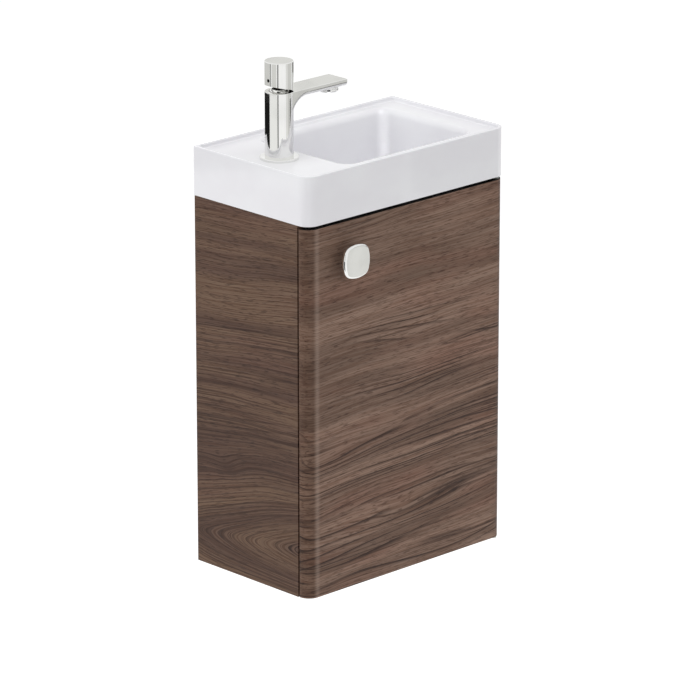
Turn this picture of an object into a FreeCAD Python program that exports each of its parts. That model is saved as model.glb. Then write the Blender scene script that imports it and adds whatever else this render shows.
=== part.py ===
import FreeCAD, Part
import math
import os

# Wall-hung vanity unit: a cabinet with one door, a washbasin top, a single-handle tap, a waste and a trap.
# Millimetres. The origin is the centre of the wall screws' pattern, on the wall. X runs to the right seen
# from the front, Y runs into the wall, and Z runs up.

V = FreeCAD.Vector
RIGHT = V(1, 0, 0)
LEFT = V(-1, 0, 0)
BACK = V(0, 1, 0)
FORWARD = V(0, -1, 0)
UP = V(0, 0, 1)
DOWN = V(0, 0, -1)

# Cabinet
width = 400.0
depth = 238.0
cabinet_height = 563.0
board = 16.0
door_thickness = 19.0
door_gap = 3.0
door_top_gap = 5.0
door_bottom_gap = 0.5
door_corner_radius = 18.0
upper_rail_height = 80.0
lower_rail_height = 60.0
wall_screw_span = 280.0
wall_screw_hole_radius = 4.0
upper_screw_drop = 40.0
dowel_radius = 4.0
dowel_in_side = 10.0
dowel_in_end = 20.0
dowel_inset = 15.0

# Shelf
shelf_rise = 230.0
shelf_thickness = 16.0
shelf_side_gap = 0.5
shelf_front_setback = 20.0
shelf_back_setback = 20.0
shelf_pin_radius = 2.5
shelf_pin_in_side = 9.0
shelf_pin_reach = 8.0
shelf_pin_inset = 30.0

# Screw heads, as shares of the head's own size
drive_arm = 0.62
drive_half_width = 0.14
drive_depth = 0.7
head_rounding = 0.4

# Door hinges, catch and knob
hinge_axis_from_side = 10.0
hinge_axis_from_front = 10.0
hinge_plate_thickness = 3.0
hinge_plate_width = 12.0
hinge_plate_length = 52.0
hinge_pin_radius = 3.0
hinge_pin_in_door = 23.5
hinge_running_gap = 0.05
hinge_bush_radius = 5.0
hinge_bush_length = 25.0
hinge_swing_gap = 0.6
hinge_screw_first = 16.0
hinge_screw_pitch = 22.0
hinge_screw = dict(length=22.0, radius=1.75, head_radius=3.5, head_height=2.0, countersunk=True)

catch_depth = 20.0
catch_width = 14.0
catch_height = 46.0
catch_drop = 26.0
catch_gap = 0.4
magnet_thickness = 6.0
magnet_height = 24.0
magnet_length = 12.0
magnet_proud = 0.5
strike_thickness = 1.5
strike_width = 12.0
strike_height = 40.0
catch_screw = dict(length=24.0, radius=1.5, head_radius=3.0, head_height=2.0, countersunk=False)
strike_screw = dict(length=13.0, radius=1.5, head_radius=2.8, head_height=1.2, countersunk=True)
buffer_radius = 4.0
buffer_gap = 0.4
buffer_inset = 34.0

knob_from_left = 76.0
knob_drop = 60.0
knob_size = 51.0
knob_side_bow = 70.0
knob_corner_radius = 13.0
knob_plate_thickness = 9.0
knob_plate_edge = 3.6
knob_stand_off = 24.0
knob_stem_radius = 8.0
knob_thread_depth = 10.0
knob_screw_radius = 2.0
knob_screw_head_radius = 4.0
knob_screw_head_height = 2.5

# Washbasin
basin_height = 74.0
basin_overhang = 1.0
basin_edge_radius = 1.5
lip_height = 6.0
lip_width = 5.0
lip_foot_radius = 3.0
lip_back_corner_radius = 6.0
skirt_wall = 9.0
deck_thickness = 10.0
bowl_left_margin = 107.0
bowl_right_margin = 44.0
bowl_front_margin = 32.0
bowl_back_margin = 26.0
bowl_depth = 90.0
bowl_draft = 6.0
bowl_corner_radius = 16.0
bowl_floor_radius = 14.0
bowl_mouth_radius = 10.0
bowl_wall = 8.0
bowl_floor = 12.0
floor_fall = 2.5
floor_fall_radius = 58.0
tap_hole_radius = 17.5

# Tap, heights from the deck
tap_from_left = 57.0
tap_from_front = 119.0
ring_radius = 28.5
ring_height = 4.0
ring_hole_radius = 16.5
ring_edge = 1.2
gasket_width = 6.0
gasket_height = 1.5
body_radius = 21.0
body_top = 100.0
body_edge = 0.5
spout_reach = 117.0
spout_width = 39.0
spout_thickness = 10.5
spout_edge = 0.6
spout_lower_edge = 6.0
spout_fillet = 20.0
waterway_width = 20.0
waterway_height = 2.0
aerator_from_tip = 20.0
aerator_radius = 15.0
aerator_wall = 2.5
aerator_drop = 6.5
aerator_recess = 0.8
handle_top = 145.0
handle_gap_front = 0.6
handle_gap_back = 10.7
handle_edge = 1.0
pivot_below_top = 10.0
cap_radius = 17.0
cap_clearance = 0.6
cap_lift = 0.4
cartridge_radius = 15.0
cartridge_depth = 44.0
carrier_radius = 13.0
running_gap = 0.05
disc_thickness = 4.0
disc_gap = 0.3
stem_radius = 4.0
stem_above_pivot = 35.0
stem_below_pivot = 7.0
stem_clearance = 0.4
handle_lift = 20.0
cross_pin_radius = 1.5
cross_pin_length = 20.0
grub_radius = 2.5
grub_length = 8.0
grub_height = 118.5
grub_socket_radius = 1.3
inlet_radius = 5.0
inlet_depth = 12.0
inlet_spacing = 15.0
inlet_forward = 4.0
channel_radius = 2.5
stud_radius = 4.0
stud_back = 9.0
stud_in_body = 12.0
stud_below_deck = 34.0
clamp_radius = 25.0
clamp_slot_width = 28.0
clamp_bridge = 2.0
clamp_gasket_thickness = 3.0
clamp_plate_thickness = 2.5
clamp_nut_flats = 13.0
clamp_nut_height = 9.0

# Waste and trap
flange_radius = 32.5
flange_thickness = 3.0
flange_gap = 0.5
seal_width = 7.0
upper_seal_thickness = 1.5
lower_seal_thickness = 4.0
grid_hole_radius = 3.0
grid_ring_radius = 10.5
grid_holes = 8
waste_tube_radius = 21.0
waste_tube_wall = 3.5
waste_tube_length = 65.0
waste_hole_gap = 1.0
backnut_flats = 55.0
backnut_height = 10.0
trap_nut_radius = 27.0
trap_nut_on_tube = 14.0
trap_nut_below = 10.0
pipe_radius = 16.0
pipe_wall = 1.6
pipe_collar_radius = 20.0
pipe_collar_height = 3.0
trap_drop = 18.0
trap_radius = 29.0
trap_wall = 3.0
trap_height = 46.0
trap_neck_radius = 22.0
trap_neck_height = 7.0
cup_height = 46.0
cup_edge = 8.0
cup_thread = 8.0
dip_into_cup = 20.0
outlet_drop = 20.0
outlet_spigot_radius = 19.0
outlet_spigot_length = 16.0
outlet_nut_radius = 24.0
outlet_nut_length = 22.0
pipe_in_wall = 30.0
pipe_bead_height = 1.5
pipe_bead_length = 2.0
rosette_radius = 35.0
rosette_face_radius = 25.0
rosette_depth = 9.0

# Places worked out from the sizes
left = -width / 2
right = width / 2
front = -depth
door_back = front + door_thickness
panel_front = door_back + door_gap
lower_rail_middle = board + lower_rail_height / 2
bottom = -(cabinet_height - upper_screw_drop + lower_rail_middle) / 2
top = bottom + cabinet_height
inner_left = left + board
inner_right = right - board
shelf_bottom = bottom + shelf_rise
door_top = top - door_top_gap
door_bottom = bottom + door_bottom_gap
hinge_x = right - hinge_axis_from_side
hinge_y = front + hinge_axis_from_front
knob_x = left + knob_from_left
knob_z = top - knob_drop

basin_left = left - basin_overhang
basin_right = right + basin_overhang
basin_front = front - basin_overhang
basin_top = top + basin_height
deck = basin_top - lip_height
bowl_x_low = basin_left + bowl_left_margin
bowl_x_high = basin_right - bowl_right_margin
bowl_y_low = basin_front + bowl_front_margin
bowl_y_high = -bowl_back_margin
bowl_floor_z = deck - bowl_depth

tap_x = left + tap_from_left
tap_y = front + tap_from_front
spout_z = deck + body_top
pivot_z = spout_z - pivot_below_top
cartridge_z = spout_z - cartridge_depth

waste_x = (bowl_x_low + bowl_x_high) / 2
waste_y = (bowl_y_low + bowl_y_high) / 2
flange_top = bowl_floor_z - floor_fall
flange_seat = flange_top - flange_thickness - upper_seal_thickness
bowl_underside = bowl_floor_z - bowl_floor
tube_end = flange_top - waste_tube_length
trap_top = tube_end - trap_drop
trap_bottom = trap_top - trap_height
outlet_z = trap_top - outlet_drop


# Shape helpers
def box(x_low, x_high, y_low, y_high, z_low, z_high):
    """A block between two corners."""
    return Part.makeBox(x_high - x_low, y_high - y_low, z_high - z_low, V(x_low, y_low, z_low))


def rod(radius, start, direction, length):
    """A round bar."""
    return Part.makeCylinder(radius, length, start, direction)


def tube(outer, inner, start, direction, length):
    """A round bar with a bore through it."""
    return rod(outer, start, direction, length).cut(rod(inner, start, direction, length))


def outline(x_low, x_high, y_low, y_high, z, front_radius, back_radius):
    """A level rectangle whose front and back corners are rounded, as one closed wire."""
    corners = [
        (V(x_low, y_low, z), FORWARD, RIGHT, front_radius),
        (V(x_high, y_low, z), RIGHT, BACK, front_radius),
        (V(x_high, y_high, z), BACK, LEFT, back_radius),
        (V(x_low, y_high, z), LEFT, FORWARD, back_radius),
    ]
    edges = []
    ends = []
    for corner, arriving, leaving, radius in corners:
        start = corner - arriving * radius
        end = corner + leaving * radius
        centre = start + leaving * radius
        if radius > 0:
            middle = centre + (corner - centre) * (1 / math.sqrt(2))
            edges.append(Part.Arc(start, middle, end).toShape())
        ends.append((start, end))
    for number, (_, end) in enumerate(ends):
        start = ends[(number + 1) % len(ends)][0]
        edges.append(Part.LineSegment(end, start).toShape())
    return Part.Wire(Part.__sortEdges__(edges))


def prism(wire, height):
    """The block that stands on a level outline."""
    return Part.Face(wire).extrude(V(0, 0, height))


def level_edges(shape, z, x_low=-math.inf, x_high=math.inf, y_low=-math.inf, y_high=math.inf):
    """The edges of a shape that lie level at one height, within a range."""
    found = []
    for edge in shape.Edges:
        size = edge.BoundBox
        level = abs(size.ZMin - z) < 1e-4 and abs(size.ZMax - z) < 1e-4
        if level and size.XMin > x_low and size.XMax < x_high and size.YMin > y_low and size.YMax < y_high:
            found.append(edge)
    return found


def along(shape, point, direction):
    """A shape made on the Z axis, turned to a direction and moved to a point."""
    placed = shape.copy()
    placed.Placement = FreeCAD.Placement(point, FreeCAD.Rotation(UP, direction))
    return placed


def screw_blank(length, radius, head_radius, head_height, countersunk):
    """A screw without its drive. The surface it is driven into is at zero, and it points up."""
    shank = rod(radius, V(0, 0, 0), UP, length)
    if countersunk:
        head = Part.makeCone(head_radius, radius, head_height, V(0, 0, 0), UP)
    else:
        head = rod(head_radius, V(0, 0, -head_height), UP, head_height)
        head = head.makeFillet(head_height * head_rounding, level_edges(head, -head_height))
    return shank.fuse(head).removeSplitter()


def screw(length, radius, head_radius, head_height, countersunk):
    """A screw with a cross recess in its head."""
    arm = head_radius * drive_arm
    half_width = head_radius * drive_half_width
    recess = head_height * drive_depth
    z_low = 0.0 if countersunk else -head_height
    cross = box(-arm, arm, -half_width, half_width, z_low, z_low + recess)
    cross = cross.fuse(box(-half_width, half_width, -arm, arm, z_low, z_low + recess))
    return screw_blank(length, radius, head_radius, head_height, countersunk).cut(cross)


def hexagon(flats, height, x, y, z):
    """A six-sided nut blank, standing on a height."""
    radius = flats / math.sqrt(3)
    points = []
    for number in range(7):
        angle = math.radians(60 * number)
        points.append(V(x + radius * math.cos(angle), y + radius * math.sin(angle), z))
    return prism(Part.makePolygon(points), height)


def cut_all(shape, tools):
    """A shape with every tool cut out of it."""
    for tool in tools:
        shape = shape.cut(tool)
    return shape


def group(shapes):
    """Alike pieces that share one node."""
    return Part.makeCompound(shapes)


# Cabinet
def dowel_points():
    """Where the dowels cross the inner faces of the side panels, as pairs of Y and Z."""
    rail_y = -board / 2
    bottom_z = bottom + board / 2
    lower_rail_bottom = bottom + board
    return [
        (panel_front + hinge_plate_length + dowel_inset, bottom_z),
        (-board - dowel_inset, bottom_z),
        (rail_y, top - dowel_inset),
        (rail_y, top - upper_rail_height + dowel_inset),
        (rail_y, lower_rail_bottom + dowel_inset),
        (rail_y, lower_rail_bottom + lower_rail_height - dowel_inset),
    ]


def dowels():
    """Every dowel, half in a side panel and half in the end of what it carries."""
    length = dowel_in_side + dowel_in_end
    pieces = []
    for y, z in dowel_points():
        pieces.append(rod(dowel_radius, V(inner_left - dowel_in_side, y, z), RIGHT, length))
        pieces.append(rod(dowel_radius, V(inner_right + dowel_in_side, y, z), LEFT, length))
    return pieces


def shelf_pins():
    """Four pins that carry the shelf."""
    length = shelf_pin_in_side + shelf_pin_reach
    z = shelf_bottom - shelf_pin_radius
    shelf_front = panel_front + shelf_front_setback
    pieces = []
    for y in (shelf_front + shelf_pin_inset, -shelf_back_setback - shelf_pin_inset):
        pieces.append(rod(shelf_pin_radius, V(inner_left - shelf_pin_in_side, y, z), RIGHT, length))
        pieces.append(rod(shelf_pin_radius, V(inner_right + shelf_pin_in_side, y, z), LEFT, length))
    return pieces


def wall_screw_holes():
    """The four holes through the rear rails."""
    holes = []
    for x in (-wall_screw_span / 2, wall_screw_span / 2):
        for z in (top - upper_screw_drop, bottom + lower_rail_middle):
            holes.append(rod(wall_screw_hole_radius, V(x, -board, z), BACK, board))
    return holes


def build_cabinet():
    """The panels, rails, shelf and what holds them together."""
    pins = shelf_pins()
    pegs = dowels()
    left_side = box(left, inner_left, panel_front, 0, bottom, top)
    right_side = box(inner_right, right, panel_front, 0, bottom, top)
    floor = box(inner_left, inner_right, panel_front, 0, bottom, bottom + board)
    upper_rail = box(inner_left, inner_right, -board, 0, top - upper_rail_height, top)
    lower_rail_bottom = bottom + board
    lower_rail_top = lower_rail_bottom + lower_rail_height
    lower_rail = box(inner_left, inner_right, -board, 0, lower_rail_bottom, lower_rail_top)
    shelf = box(
        inner_left + shelf_side_gap,
        inner_right - shelf_side_gap,
        panel_front + shelf_front_setback,
        -shelf_back_setback,
        shelf_bottom,
        shelf_bottom + shelf_thickness,
    )
    right_side = right_side.cut(hinge_plate(top - hinge_plate_thickness))
    return {
        "left_side_panel": cut_all(left_side, pegs + pins + catch_screws(screw_blank)),
        "right_side_panel": cut_all(right_side, pegs + pins + hinge_screws(screw_blank)),
        "bottom_panel": cut_all(floor, pegs),
        "upper_rear_rail": cut_all(upper_rail, pegs + wall_screw_holes()),
        "lower_rear_rail": cut_all(lower_rail, pegs + wall_screw_holes()),
        "dowels": group(pegs),
        "shelf": shelf,
        "shelf_pins": group(pins),
    }


# Door hinges
def hinge_plate(z):
    """A flat bar with a round nose about the hinge axis, lying on a height."""
    half = hinge_plate_width / 2
    end = panel_front + hinge_plate_length
    bar = box(hinge_x - half, hinge_x + half, hinge_y, end, z, z + hinge_plate_thickness)
    return bar.fuse(rod(half, V(hinge_x, hinge_y, z), UP, hinge_plate_thickness)).removeSplitter()


def hinge_screws(make):
    """The screws of both hinge plates, driven into the ends of the right side panel."""
    pieces = []
    for z, direction in ((top, DOWN), (bottom - hinge_plate_thickness, UP)):
        for number in range(2):
            y = panel_front + hinge_screw_first + number * hinge_screw_pitch
            pieces.append(along(make(**hinge_screw), V(hinge_x, y, z), direction))
    return pieces


def hinge_ends():
    """For each hinge: the plate's outer face, the door's end and the way from the first to the second."""
    return [(top, door_top, DOWN), (bottom - hinge_plate_thickness, door_bottom, UP)]


def hinge_pins():
    """The pins that stand from the plates into the door."""
    pieces = []
    for outer, door_end, direction in hinge_ends():
        length = abs(outer - door_end) + hinge_pin_in_door
        pieces.append(rod(hinge_pin_radius, V(hinge_x, hinge_y, outer), direction, length))
    return pieces


def hinge_bushes():
    """The plain bushes that sit in the door's ends and turn on the pins."""
    inner = hinge_pin_radius + hinge_running_gap
    pieces = []
    for _, door_end, direction in hinge_ends():
        start = V(hinge_x, hinge_y, door_end)
        pieces.append(tube(hinge_bush_radius, inner, start, direction, hinge_bush_length))
    return pieces


def build_hinges():
    """Pivot hinges at the top and bottom of the right side panel."""
    holes = hinge_pins() + hinge_screws(screw_blank)
    return {
        "upper_hinge_plate": cut_all(hinge_plate(top - hinge_plate_thickness), holes),
        "lower_hinge_plate": cut_all(hinge_plate(bottom - hinge_plate_thickness), holes),
        "hinge_pins": group(hinge_pins()),
        "hinge_bushes": group(hinge_bushes()),
        "hinge_screws": group(hinge_screws(screw)),
    }


# Door catch
catch_middle_z = top - catch_drop - catch_height / 2
magnet_front = door_back + strike_thickness + catch_gap
catch_front = magnet_front + magnet_proud
catch_middle_x = inner_left + catch_width / 2


def catch_screws(make):
    """The screws that hold the catch to the left side panel."""
    z_offset = (catch_height + magnet_height) / 4
    y = catch_front + catch_depth / 2
    pieces = []
    for sign in (-1, 1):
        point = V(inner_left + catch_width, y, catch_middle_z + sign * z_offset)
        pieces.append(along(make(**catch_screw), point, LEFT))
    return pieces


def strike_screws(make):
    """The screw that holds the strike plate to the door."""
    point = V(catch_middle_x, door_back + strike_thickness, catch_middle_z)
    return [along(make(**strike_screw), point, FORWARD)]


def build_catch():
    """A magnetic catch, its strike plate and the door's buffers."""
    half_height = catch_height / 2
    housing = box(
        inner_left,
        inner_left + catch_width,
        catch_front,
        catch_front + catch_depth,
        catch_middle_z - half_height,
        catch_middle_z + half_height,
    )
    magnet = box(
        catch_middle_x - magnet_thickness / 2,
        catch_middle_x + magnet_thickness / 2,
        magnet_front,
        magnet_front + magnet_length,
        catch_middle_z - magnet_height / 2,
        catch_middle_z + magnet_height / 2,
    )
    strike = box(
        catch_middle_x - strike_width / 2,
        catch_middle_x + strike_width / 2,
        door_back,
        door_back + strike_thickness,
        catch_middle_z - strike_height / 2,
        catch_middle_z + strike_height / 2,
    )
    buffers = []
    for z in (bottom + buffer_inset, top - buffer_inset):
        point = V(left + board / 2, panel_front, z)
        buffers.append(rod(buffer_radius, point, FORWARD, door_gap - buffer_gap))
    return {
        "catch_housing": cut_all(housing, [magnet] + catch_screws(screw_blank)),
        "catch_magnet": magnet,
        "catch_screws": group(catch_screws(screw)),
        "strike_plate": cut_all(strike, strike_screws(screw_blank)),
        "strike_screw": group(strike_screws(screw)),
        "door_buffers": group(buffers),
    }


# Door
def knob_plate_face():
    """The knob's front: a square with bowed sides and round corners."""
    half = knob_size / 2
    corner_reach = half - (knob_side_bow - math.sqrt(knob_side_bow**2 - half**2))
    points = [V(-corner_reach, -corner_reach, 0), V(corner_reach, -corner_reach, 0)]
    points += [V(corner_reach, corner_reach, 0), V(-corner_reach, corner_reach, 0)]
    middles = [V(0, -half, 0), V(half, 0, 0), V(0, half, 0), V(-half, 0, 0)]
    edges = []
    for number in range(4):
        edges.append(Part.Arc(points[number], middles[number], points[(number + 1) % 4]).toShape())
    return Part.Face(Part.Wire(edges))


def knob_screw_parts(make):
    """The screw that holds the knob from the door's inner face."""
    length = door_thickness + knob_thread_depth
    shape = make(length, knob_screw_radius, knob_screw_head_radius, knob_screw_head_height, False)
    return [along(shape, V(knob_x, door_back, knob_z), FORWARD)]


def build_door():
    """The door with its knob."""
    height = door_top - door_bottom
    leaf = prism(outline(left, right, front, door_back, door_bottom, door_corner_radius, 0), height)
    swing_radius = panel_front - hinge_y - hinge_swing_gap
    spare = box(hinge_x, right, hinge_y, door_back, door_bottom, door_top)
    spare = spare.cut(rod(swing_radius, V(hinge_x, hinge_y, door_bottom), UP, height))
    leaf = leaf.cut(spare)
    for _, door_end, direction in hinge_ends():
        leaf = leaf.cut(rod(hinge_bush_radius, V(hinge_x, hinge_y, door_end), direction, hinge_bush_length))
    leaf = cut_all(leaf, knob_screw_parts(screw_blank) + strike_screws(screw_blank))

    plate = knob_plate_face().extrude(V(0, 0, knob_plate_thickness))
    uprights = [edge for edge in plate.Edges if edge.BoundBox.ZLength > knob_plate_thickness / 2]
    plate = plate.makeFillet(knob_corner_radius, uprights)
    rims = level_edges(plate, 0) + level_edges(plate, knob_plate_thickness)
    plate = plate.makeFillet(knob_plate_edge, rims)
    plate.translate(V(0, 0, knob_stand_off - knob_plate_thickness))
    stem = rod(knob_stem_radius, V(0, 0, 0), UP, knob_stand_off - knob_plate_thickness / 2)
    knob = along(plate.fuse(stem).removeSplitter(), V(knob_x, front, knob_z), FORWARD)
    return {
        "door": leaf,
        "door_knob": cut_all(knob, knob_screw_parts(screw_blank)),
        "knob_screw": group(knob_screw_parts(screw)),
    }


# Washbasin
def bowl_outline(z, grow):
    """The bowl's outline at a height, drawn in by its draft below the deck and grown by a wall."""
    inset = (deck - z) * math.tan(math.radians(bowl_draft)) - grow
    radius = bowl_corner_radius + grow
    return outline(
        bowl_x_low + inset, bowl_x_high - inset, bowl_y_low + inset, bowl_y_high - inset, z, radius, radius
    )


def bowl_form(z_high, z_low, grow, floor_radius):
    """The bowl as a block: drafted sides, round corners and a round foot."""
    form = Part.makeLoft([bowl_outline(z_low, grow), bowl_outline(z_high, grow)], True, True)
    return form.makeFillet(floor_radius, level_edges(form, z_low))


def build_basin():
    """The washbasin: a hollow rim with a lip, a deck for the tap and a bowl that reaches into the cabinet."""
    corner = door_corner_radius + basin_overhang
    block = prism(outline(basin_left, basin_right, basin_front, 0, top, corner, 0), basin_height)
    well = prism(
        outline(
            basin_left + lip_width, basin_right - lip_width, basin_front + lip_width, -lip_width,
            deck, corner - lip_width, lip_back_corner_radius,
        ),
        lip_height,
    )
    well = well.makeFillet(lip_foot_radius, level_edges(well, deck))
    rim = block.cut(well)
    rim = rim.makeFillet(basin_edge_radius, level_edges(rim, basin_top))

    hollow = prism(
        outline(
            basin_left + skirt_wall, basin_right - skirt_wall, basin_front + skirt_wall, -skirt_wall,
            top, corner - skirt_wall, 0,
        ),
        basin_height - lip_height - deck_thickness,
    )
    shell = bowl_form(deck - deck_thickness / 2, bowl_underside, bowl_wall, bowl_floor_radius + bowl_wall)
    basin = rim.cut(hollow).fuse(shell).removeSplitter()
    basin = basin.cut(bowl_form(deck, bowl_floor_z, 0, bowl_floor_radius))
    near = bowl_mouth_radius
    mouth = level_edges(
        basin, deck, bowl_x_low - near, bowl_x_high + near, bowl_y_low - near, bowl_y_high + near
    )
    basin = basin.makeFillet(bowl_mouth_radius, mouth)

    tap_hole = rod(tap_hole_radius, V(tap_x, tap_y, deck - deck_thickness), UP, deck_thickness)
    seat_radius = flange_radius + flange_gap
    fall = Part.makeCone(seat_radius, floor_fall_radius, floor_fall, waste_point(flange_top), UP)
    seat = rod(seat_radius, waste_point(flange_seat), UP, flange_top - flange_seat)
    hole_radius = waste_tube_radius + waste_hole_gap
    hole = rod(hole_radius, waste_point(bowl_underside), UP, flange_top - bowl_underside)
    return {"basin": cut_all(basin, [tap_hole, fall, seat, hole])}


# Tap
def tap_point(z):
    """A point on the tap's axis."""
    return V(tap_x, tap_y, z)


def inlet_points():
    """Where the two supply connections enter the tap's foot, in plan."""
    y = tap_y - inlet_forward
    return [(tap_x - inlet_spacing / 2, y), (tap_x + inlet_spacing / 2, y)]


def spout_blade():
    """The flat spout with a round fillet to the body under it, and rounded lower edges."""
    half = spout_width / 2
    underside = spout_z - spout_thickness
    tip = tap_x + spout_reach
    blade = box(tap_x, tip, tap_y - half, tap_y + half, underside, spout_z)
    foot = underside - spout_fillet
    rim = body_radius + spout_fillet
    middle = V(rim - spout_fillet / math.sqrt(2), 0, foot + spout_fillet / math.sqrt(2))
    core = cartridge_radius
    profile = Part.Wire(
        [
            Part.LineSegment(V(core, 0, foot), V(core, 0, underside + spout_edge)).toShape(),
            Part.LineSegment(V(core, 0, underside + spout_edge), V(rim, 0, underside + spout_edge)).toShape(),
            Part.LineSegment(V(rim, 0, underside + spout_edge), V(rim, 0, underside)).toShape(),
            Part.Arc(V(rim, 0, underside), middle, V(body_radius, 0, foot)).toShape(),
            Part.LineSegment(V(body_radius, 0, foot), V(core, 0, foot)).toShape(),
        ]
    )
    web = Part.Face(profile).revolve(V(0, 0, 0), UP, 360)
    web.translate(V(tap_x, tap_y, 0))
    reach = box(tap_x, tap_x + rim, tap_y - half, tap_y + half, foot, underside + spout_edge)
    spout = blade.fuse(web.common(reach)).removeSplitter()
    lower = []
    for edge in spout.Edges:
        size = edge.BoundBox
        on_side = size.YLength < 1e-3 and abs(size.YMin - tap_y) > half - 1e-3
        if on_side and size.ZMax < underside + 1e-3 and size.XMax > tap_x + body_radius:
            lower.append(edge)
    spout = spout.makeFillet(spout_lower_edge, lower)
    at_tip = [edge for edge in spout.Edges if edge.BoundBox.XMin > tip - 1e-3]
    long_upper = [edge for edge in level_edges(spout, spout_z) if edge.BoundBox.YLength < 1e-3]
    return spout.makeFillet(spout_edge, at_tip + long_upper)


def tap_waterways():
    """The bores inside the tap's body: inlets, channels to the cartridge and the way to the aerator."""
    foot = deck + ring_height
    tools = [rod(cartridge_radius, tap_point(cartridge_z), UP, cartridge_depth)]
    for x, y in inlet_points():
        tools.append(rod(inlet_radius, V(x, y, foot), UP, inlet_depth))
        tools.append(rod(channel_radius, V(x, y, foot), UP, cartridge_z - foot))
    middle = spout_z - spout_thickness / 2
    wall_x = tap_x + (cartridge_radius + body_radius) / 2
    mixed_z = cartridge_z - 2 * channel_radius
    riser_radius = (body_radius - cartridge_radius) / 3
    tools.append(rod(riser_radius, V(wall_x, tap_y, mixed_z), UP, middle - mixed_z))
    tools.append(rod(riser_radius, tap_point(mixed_z), RIGHT, wall_x - tap_x))
    tools.append(rod(channel_radius, tap_point(mixed_z), UP, cartridge_z - mixed_z))
    half_height = waterway_height / 2
    half_width = waterway_width / 2
    end = tap_x + spout_reach - aerator_from_tip
    flow_low = middle - half_height
    flow_high = middle + half_height
    tools.append(box(wall_x, end, tap_y - half_width, tap_y + half_width, flow_low, flow_high))
    inner = aerator_radius - aerator_wall
    tools.append(rod(inner, V(end, tap_y, spout_z - spout_thickness), UP, spout_thickness / 2 + half_height))
    return tools


def fixing_stud():
    """The threaded stud that pulls the tap down on the deck."""
    low = deck - deck_thickness - stud_below_deck
    high = deck + ring_height + stud_in_body
    return rod(stud_radius, V(tap_x, tap_y + stud_back, low), UP, high - low)


def clamp_layer(z, thickness):
    """A round clamp piece with a slot for the supplies and a hole for the stud."""
    layer = rod(clamp_radius, tap_point(z), UP, thickness)
    half = clamp_slot_width / 2
    slot_back = tap_y + stud_back - stud_radius - clamp_bridge
    slot = box(tap_x - half, tap_x + half, tap_y - clamp_radius, slot_back, z, z + thickness)
    return layer.cut(slot).cut(fixing_stud())


def build_tap_fixed():
    """The tap's body on the deck, with what holds it and what sits in it."""
    foot = deck + ring_height
    barrel = rod(body_radius, tap_point(foot), UP, body_top - ring_height)
    barrel = barrel.makeFillet(body_edge, level_edges(barrel, spout_z))
    body = cut_all(barrel.fuse(spout_blade()).removeSplitter(), tap_waterways() + [fixing_stud()])

    gasket_outer = (ring_radius + ring_hole_radius + gasket_width) / 2
    gasket = tube(gasket_outer, gasket_outer - gasket_width, tap_point(deck), UP, gasket_height)
    ring = rod(ring_radius, tap_point(deck), UP, ring_height)
    ring = ring.makeFillet(ring_edge, level_edges(ring, foot))
    ring = ring.cut(rod(ring_hole_radius, tap_point(deck), UP, ring_height)).cut(gasket)

    sleeve = rod(cartridge_radius, tap_point(cartridge_z), UP, cartridge_depth - cap_lift)
    bore = carrier_radius + running_gap
    sleeve = sleeve.cut(rod(bore, tap_point(cartridge_z + disc_thickness), UP, cartridge_depth))
    fixed_disc = rod(carrier_radius, tap_point(cartridge_z + disc_thickness), UP, disc_thickness)
    ports = []
    for x, y in inlet_points() + [(tap_x, tap_y + inlet_forward)]:
        ports.append(rod(channel_radius, V(x, y, cartridge_z), UP, 2 * disc_thickness))

    aerator_x = tap_x + spout_reach - aerator_from_tip
    underside = spout_z - spout_thickness
    lip_z = underside - aerator_drop
    inner = aerator_radius - aerator_wall
    aerator_ring = rod(aerator_radius, V(aerator_x, tap_y, lip_z), UP, aerator_drop)
    aerator_ring = aerator_ring.makeFillet(ring_edge, level_edges(aerator_ring, lip_z))
    aerator_ring = aerator_ring.cut(rod(inner, V(aerator_x, tap_y, lip_z), UP, aerator_drop))
    insert = rod(inner, V(aerator_x, tap_y, lip_z + aerator_recess), UP, aerator_drop - aerator_recess)

    clamp_gasket_z = deck - deck_thickness - clamp_gasket_thickness
    clamp_plate_z = clamp_gasket_z - clamp_plate_thickness
    nut_z = clamp_plate_z - clamp_nut_height
    nut = hexagon(clamp_nut_flats, clamp_nut_height, tap_x, tap_y + stud_back, nut_z)
    return {
        "tap_body": body,
        "tap_base_ring": ring,
        "tap_base_gasket": gasket,
        "cartridge_sleeve": cut_all(sleeve, ports),
        "fixed_ceramic_disc": cut_all(fixed_disc, ports),
        "aerator_ring": aerator_ring,
        "aerator_insert": insert,
        "tap_fixing_stud": fixing_stud(),
        "tap_clamp_gasket": clamp_layer(clamp_gasket_z, clamp_gasket_thickness),
        "tap_clamp_plate": clamp_layer(clamp_plate_z, clamp_plate_thickness),
        "tap_clamp_nut": nut.cut(fixing_stud()),
    }


def stem():
    """The lever stem that joins the handle to the cartridge."""
    return rod(stem_radius, tap_point(pivot_z - stem_below_pivot), UP, stem_below_pivot + stem_above_pivot)


def cross_pin():
    """The pin on which the stem tips."""
    return rod(cross_pin_radius, V(tap_x, tap_y - cross_pin_length / 2, pivot_z), BACK, cross_pin_length)


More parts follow.
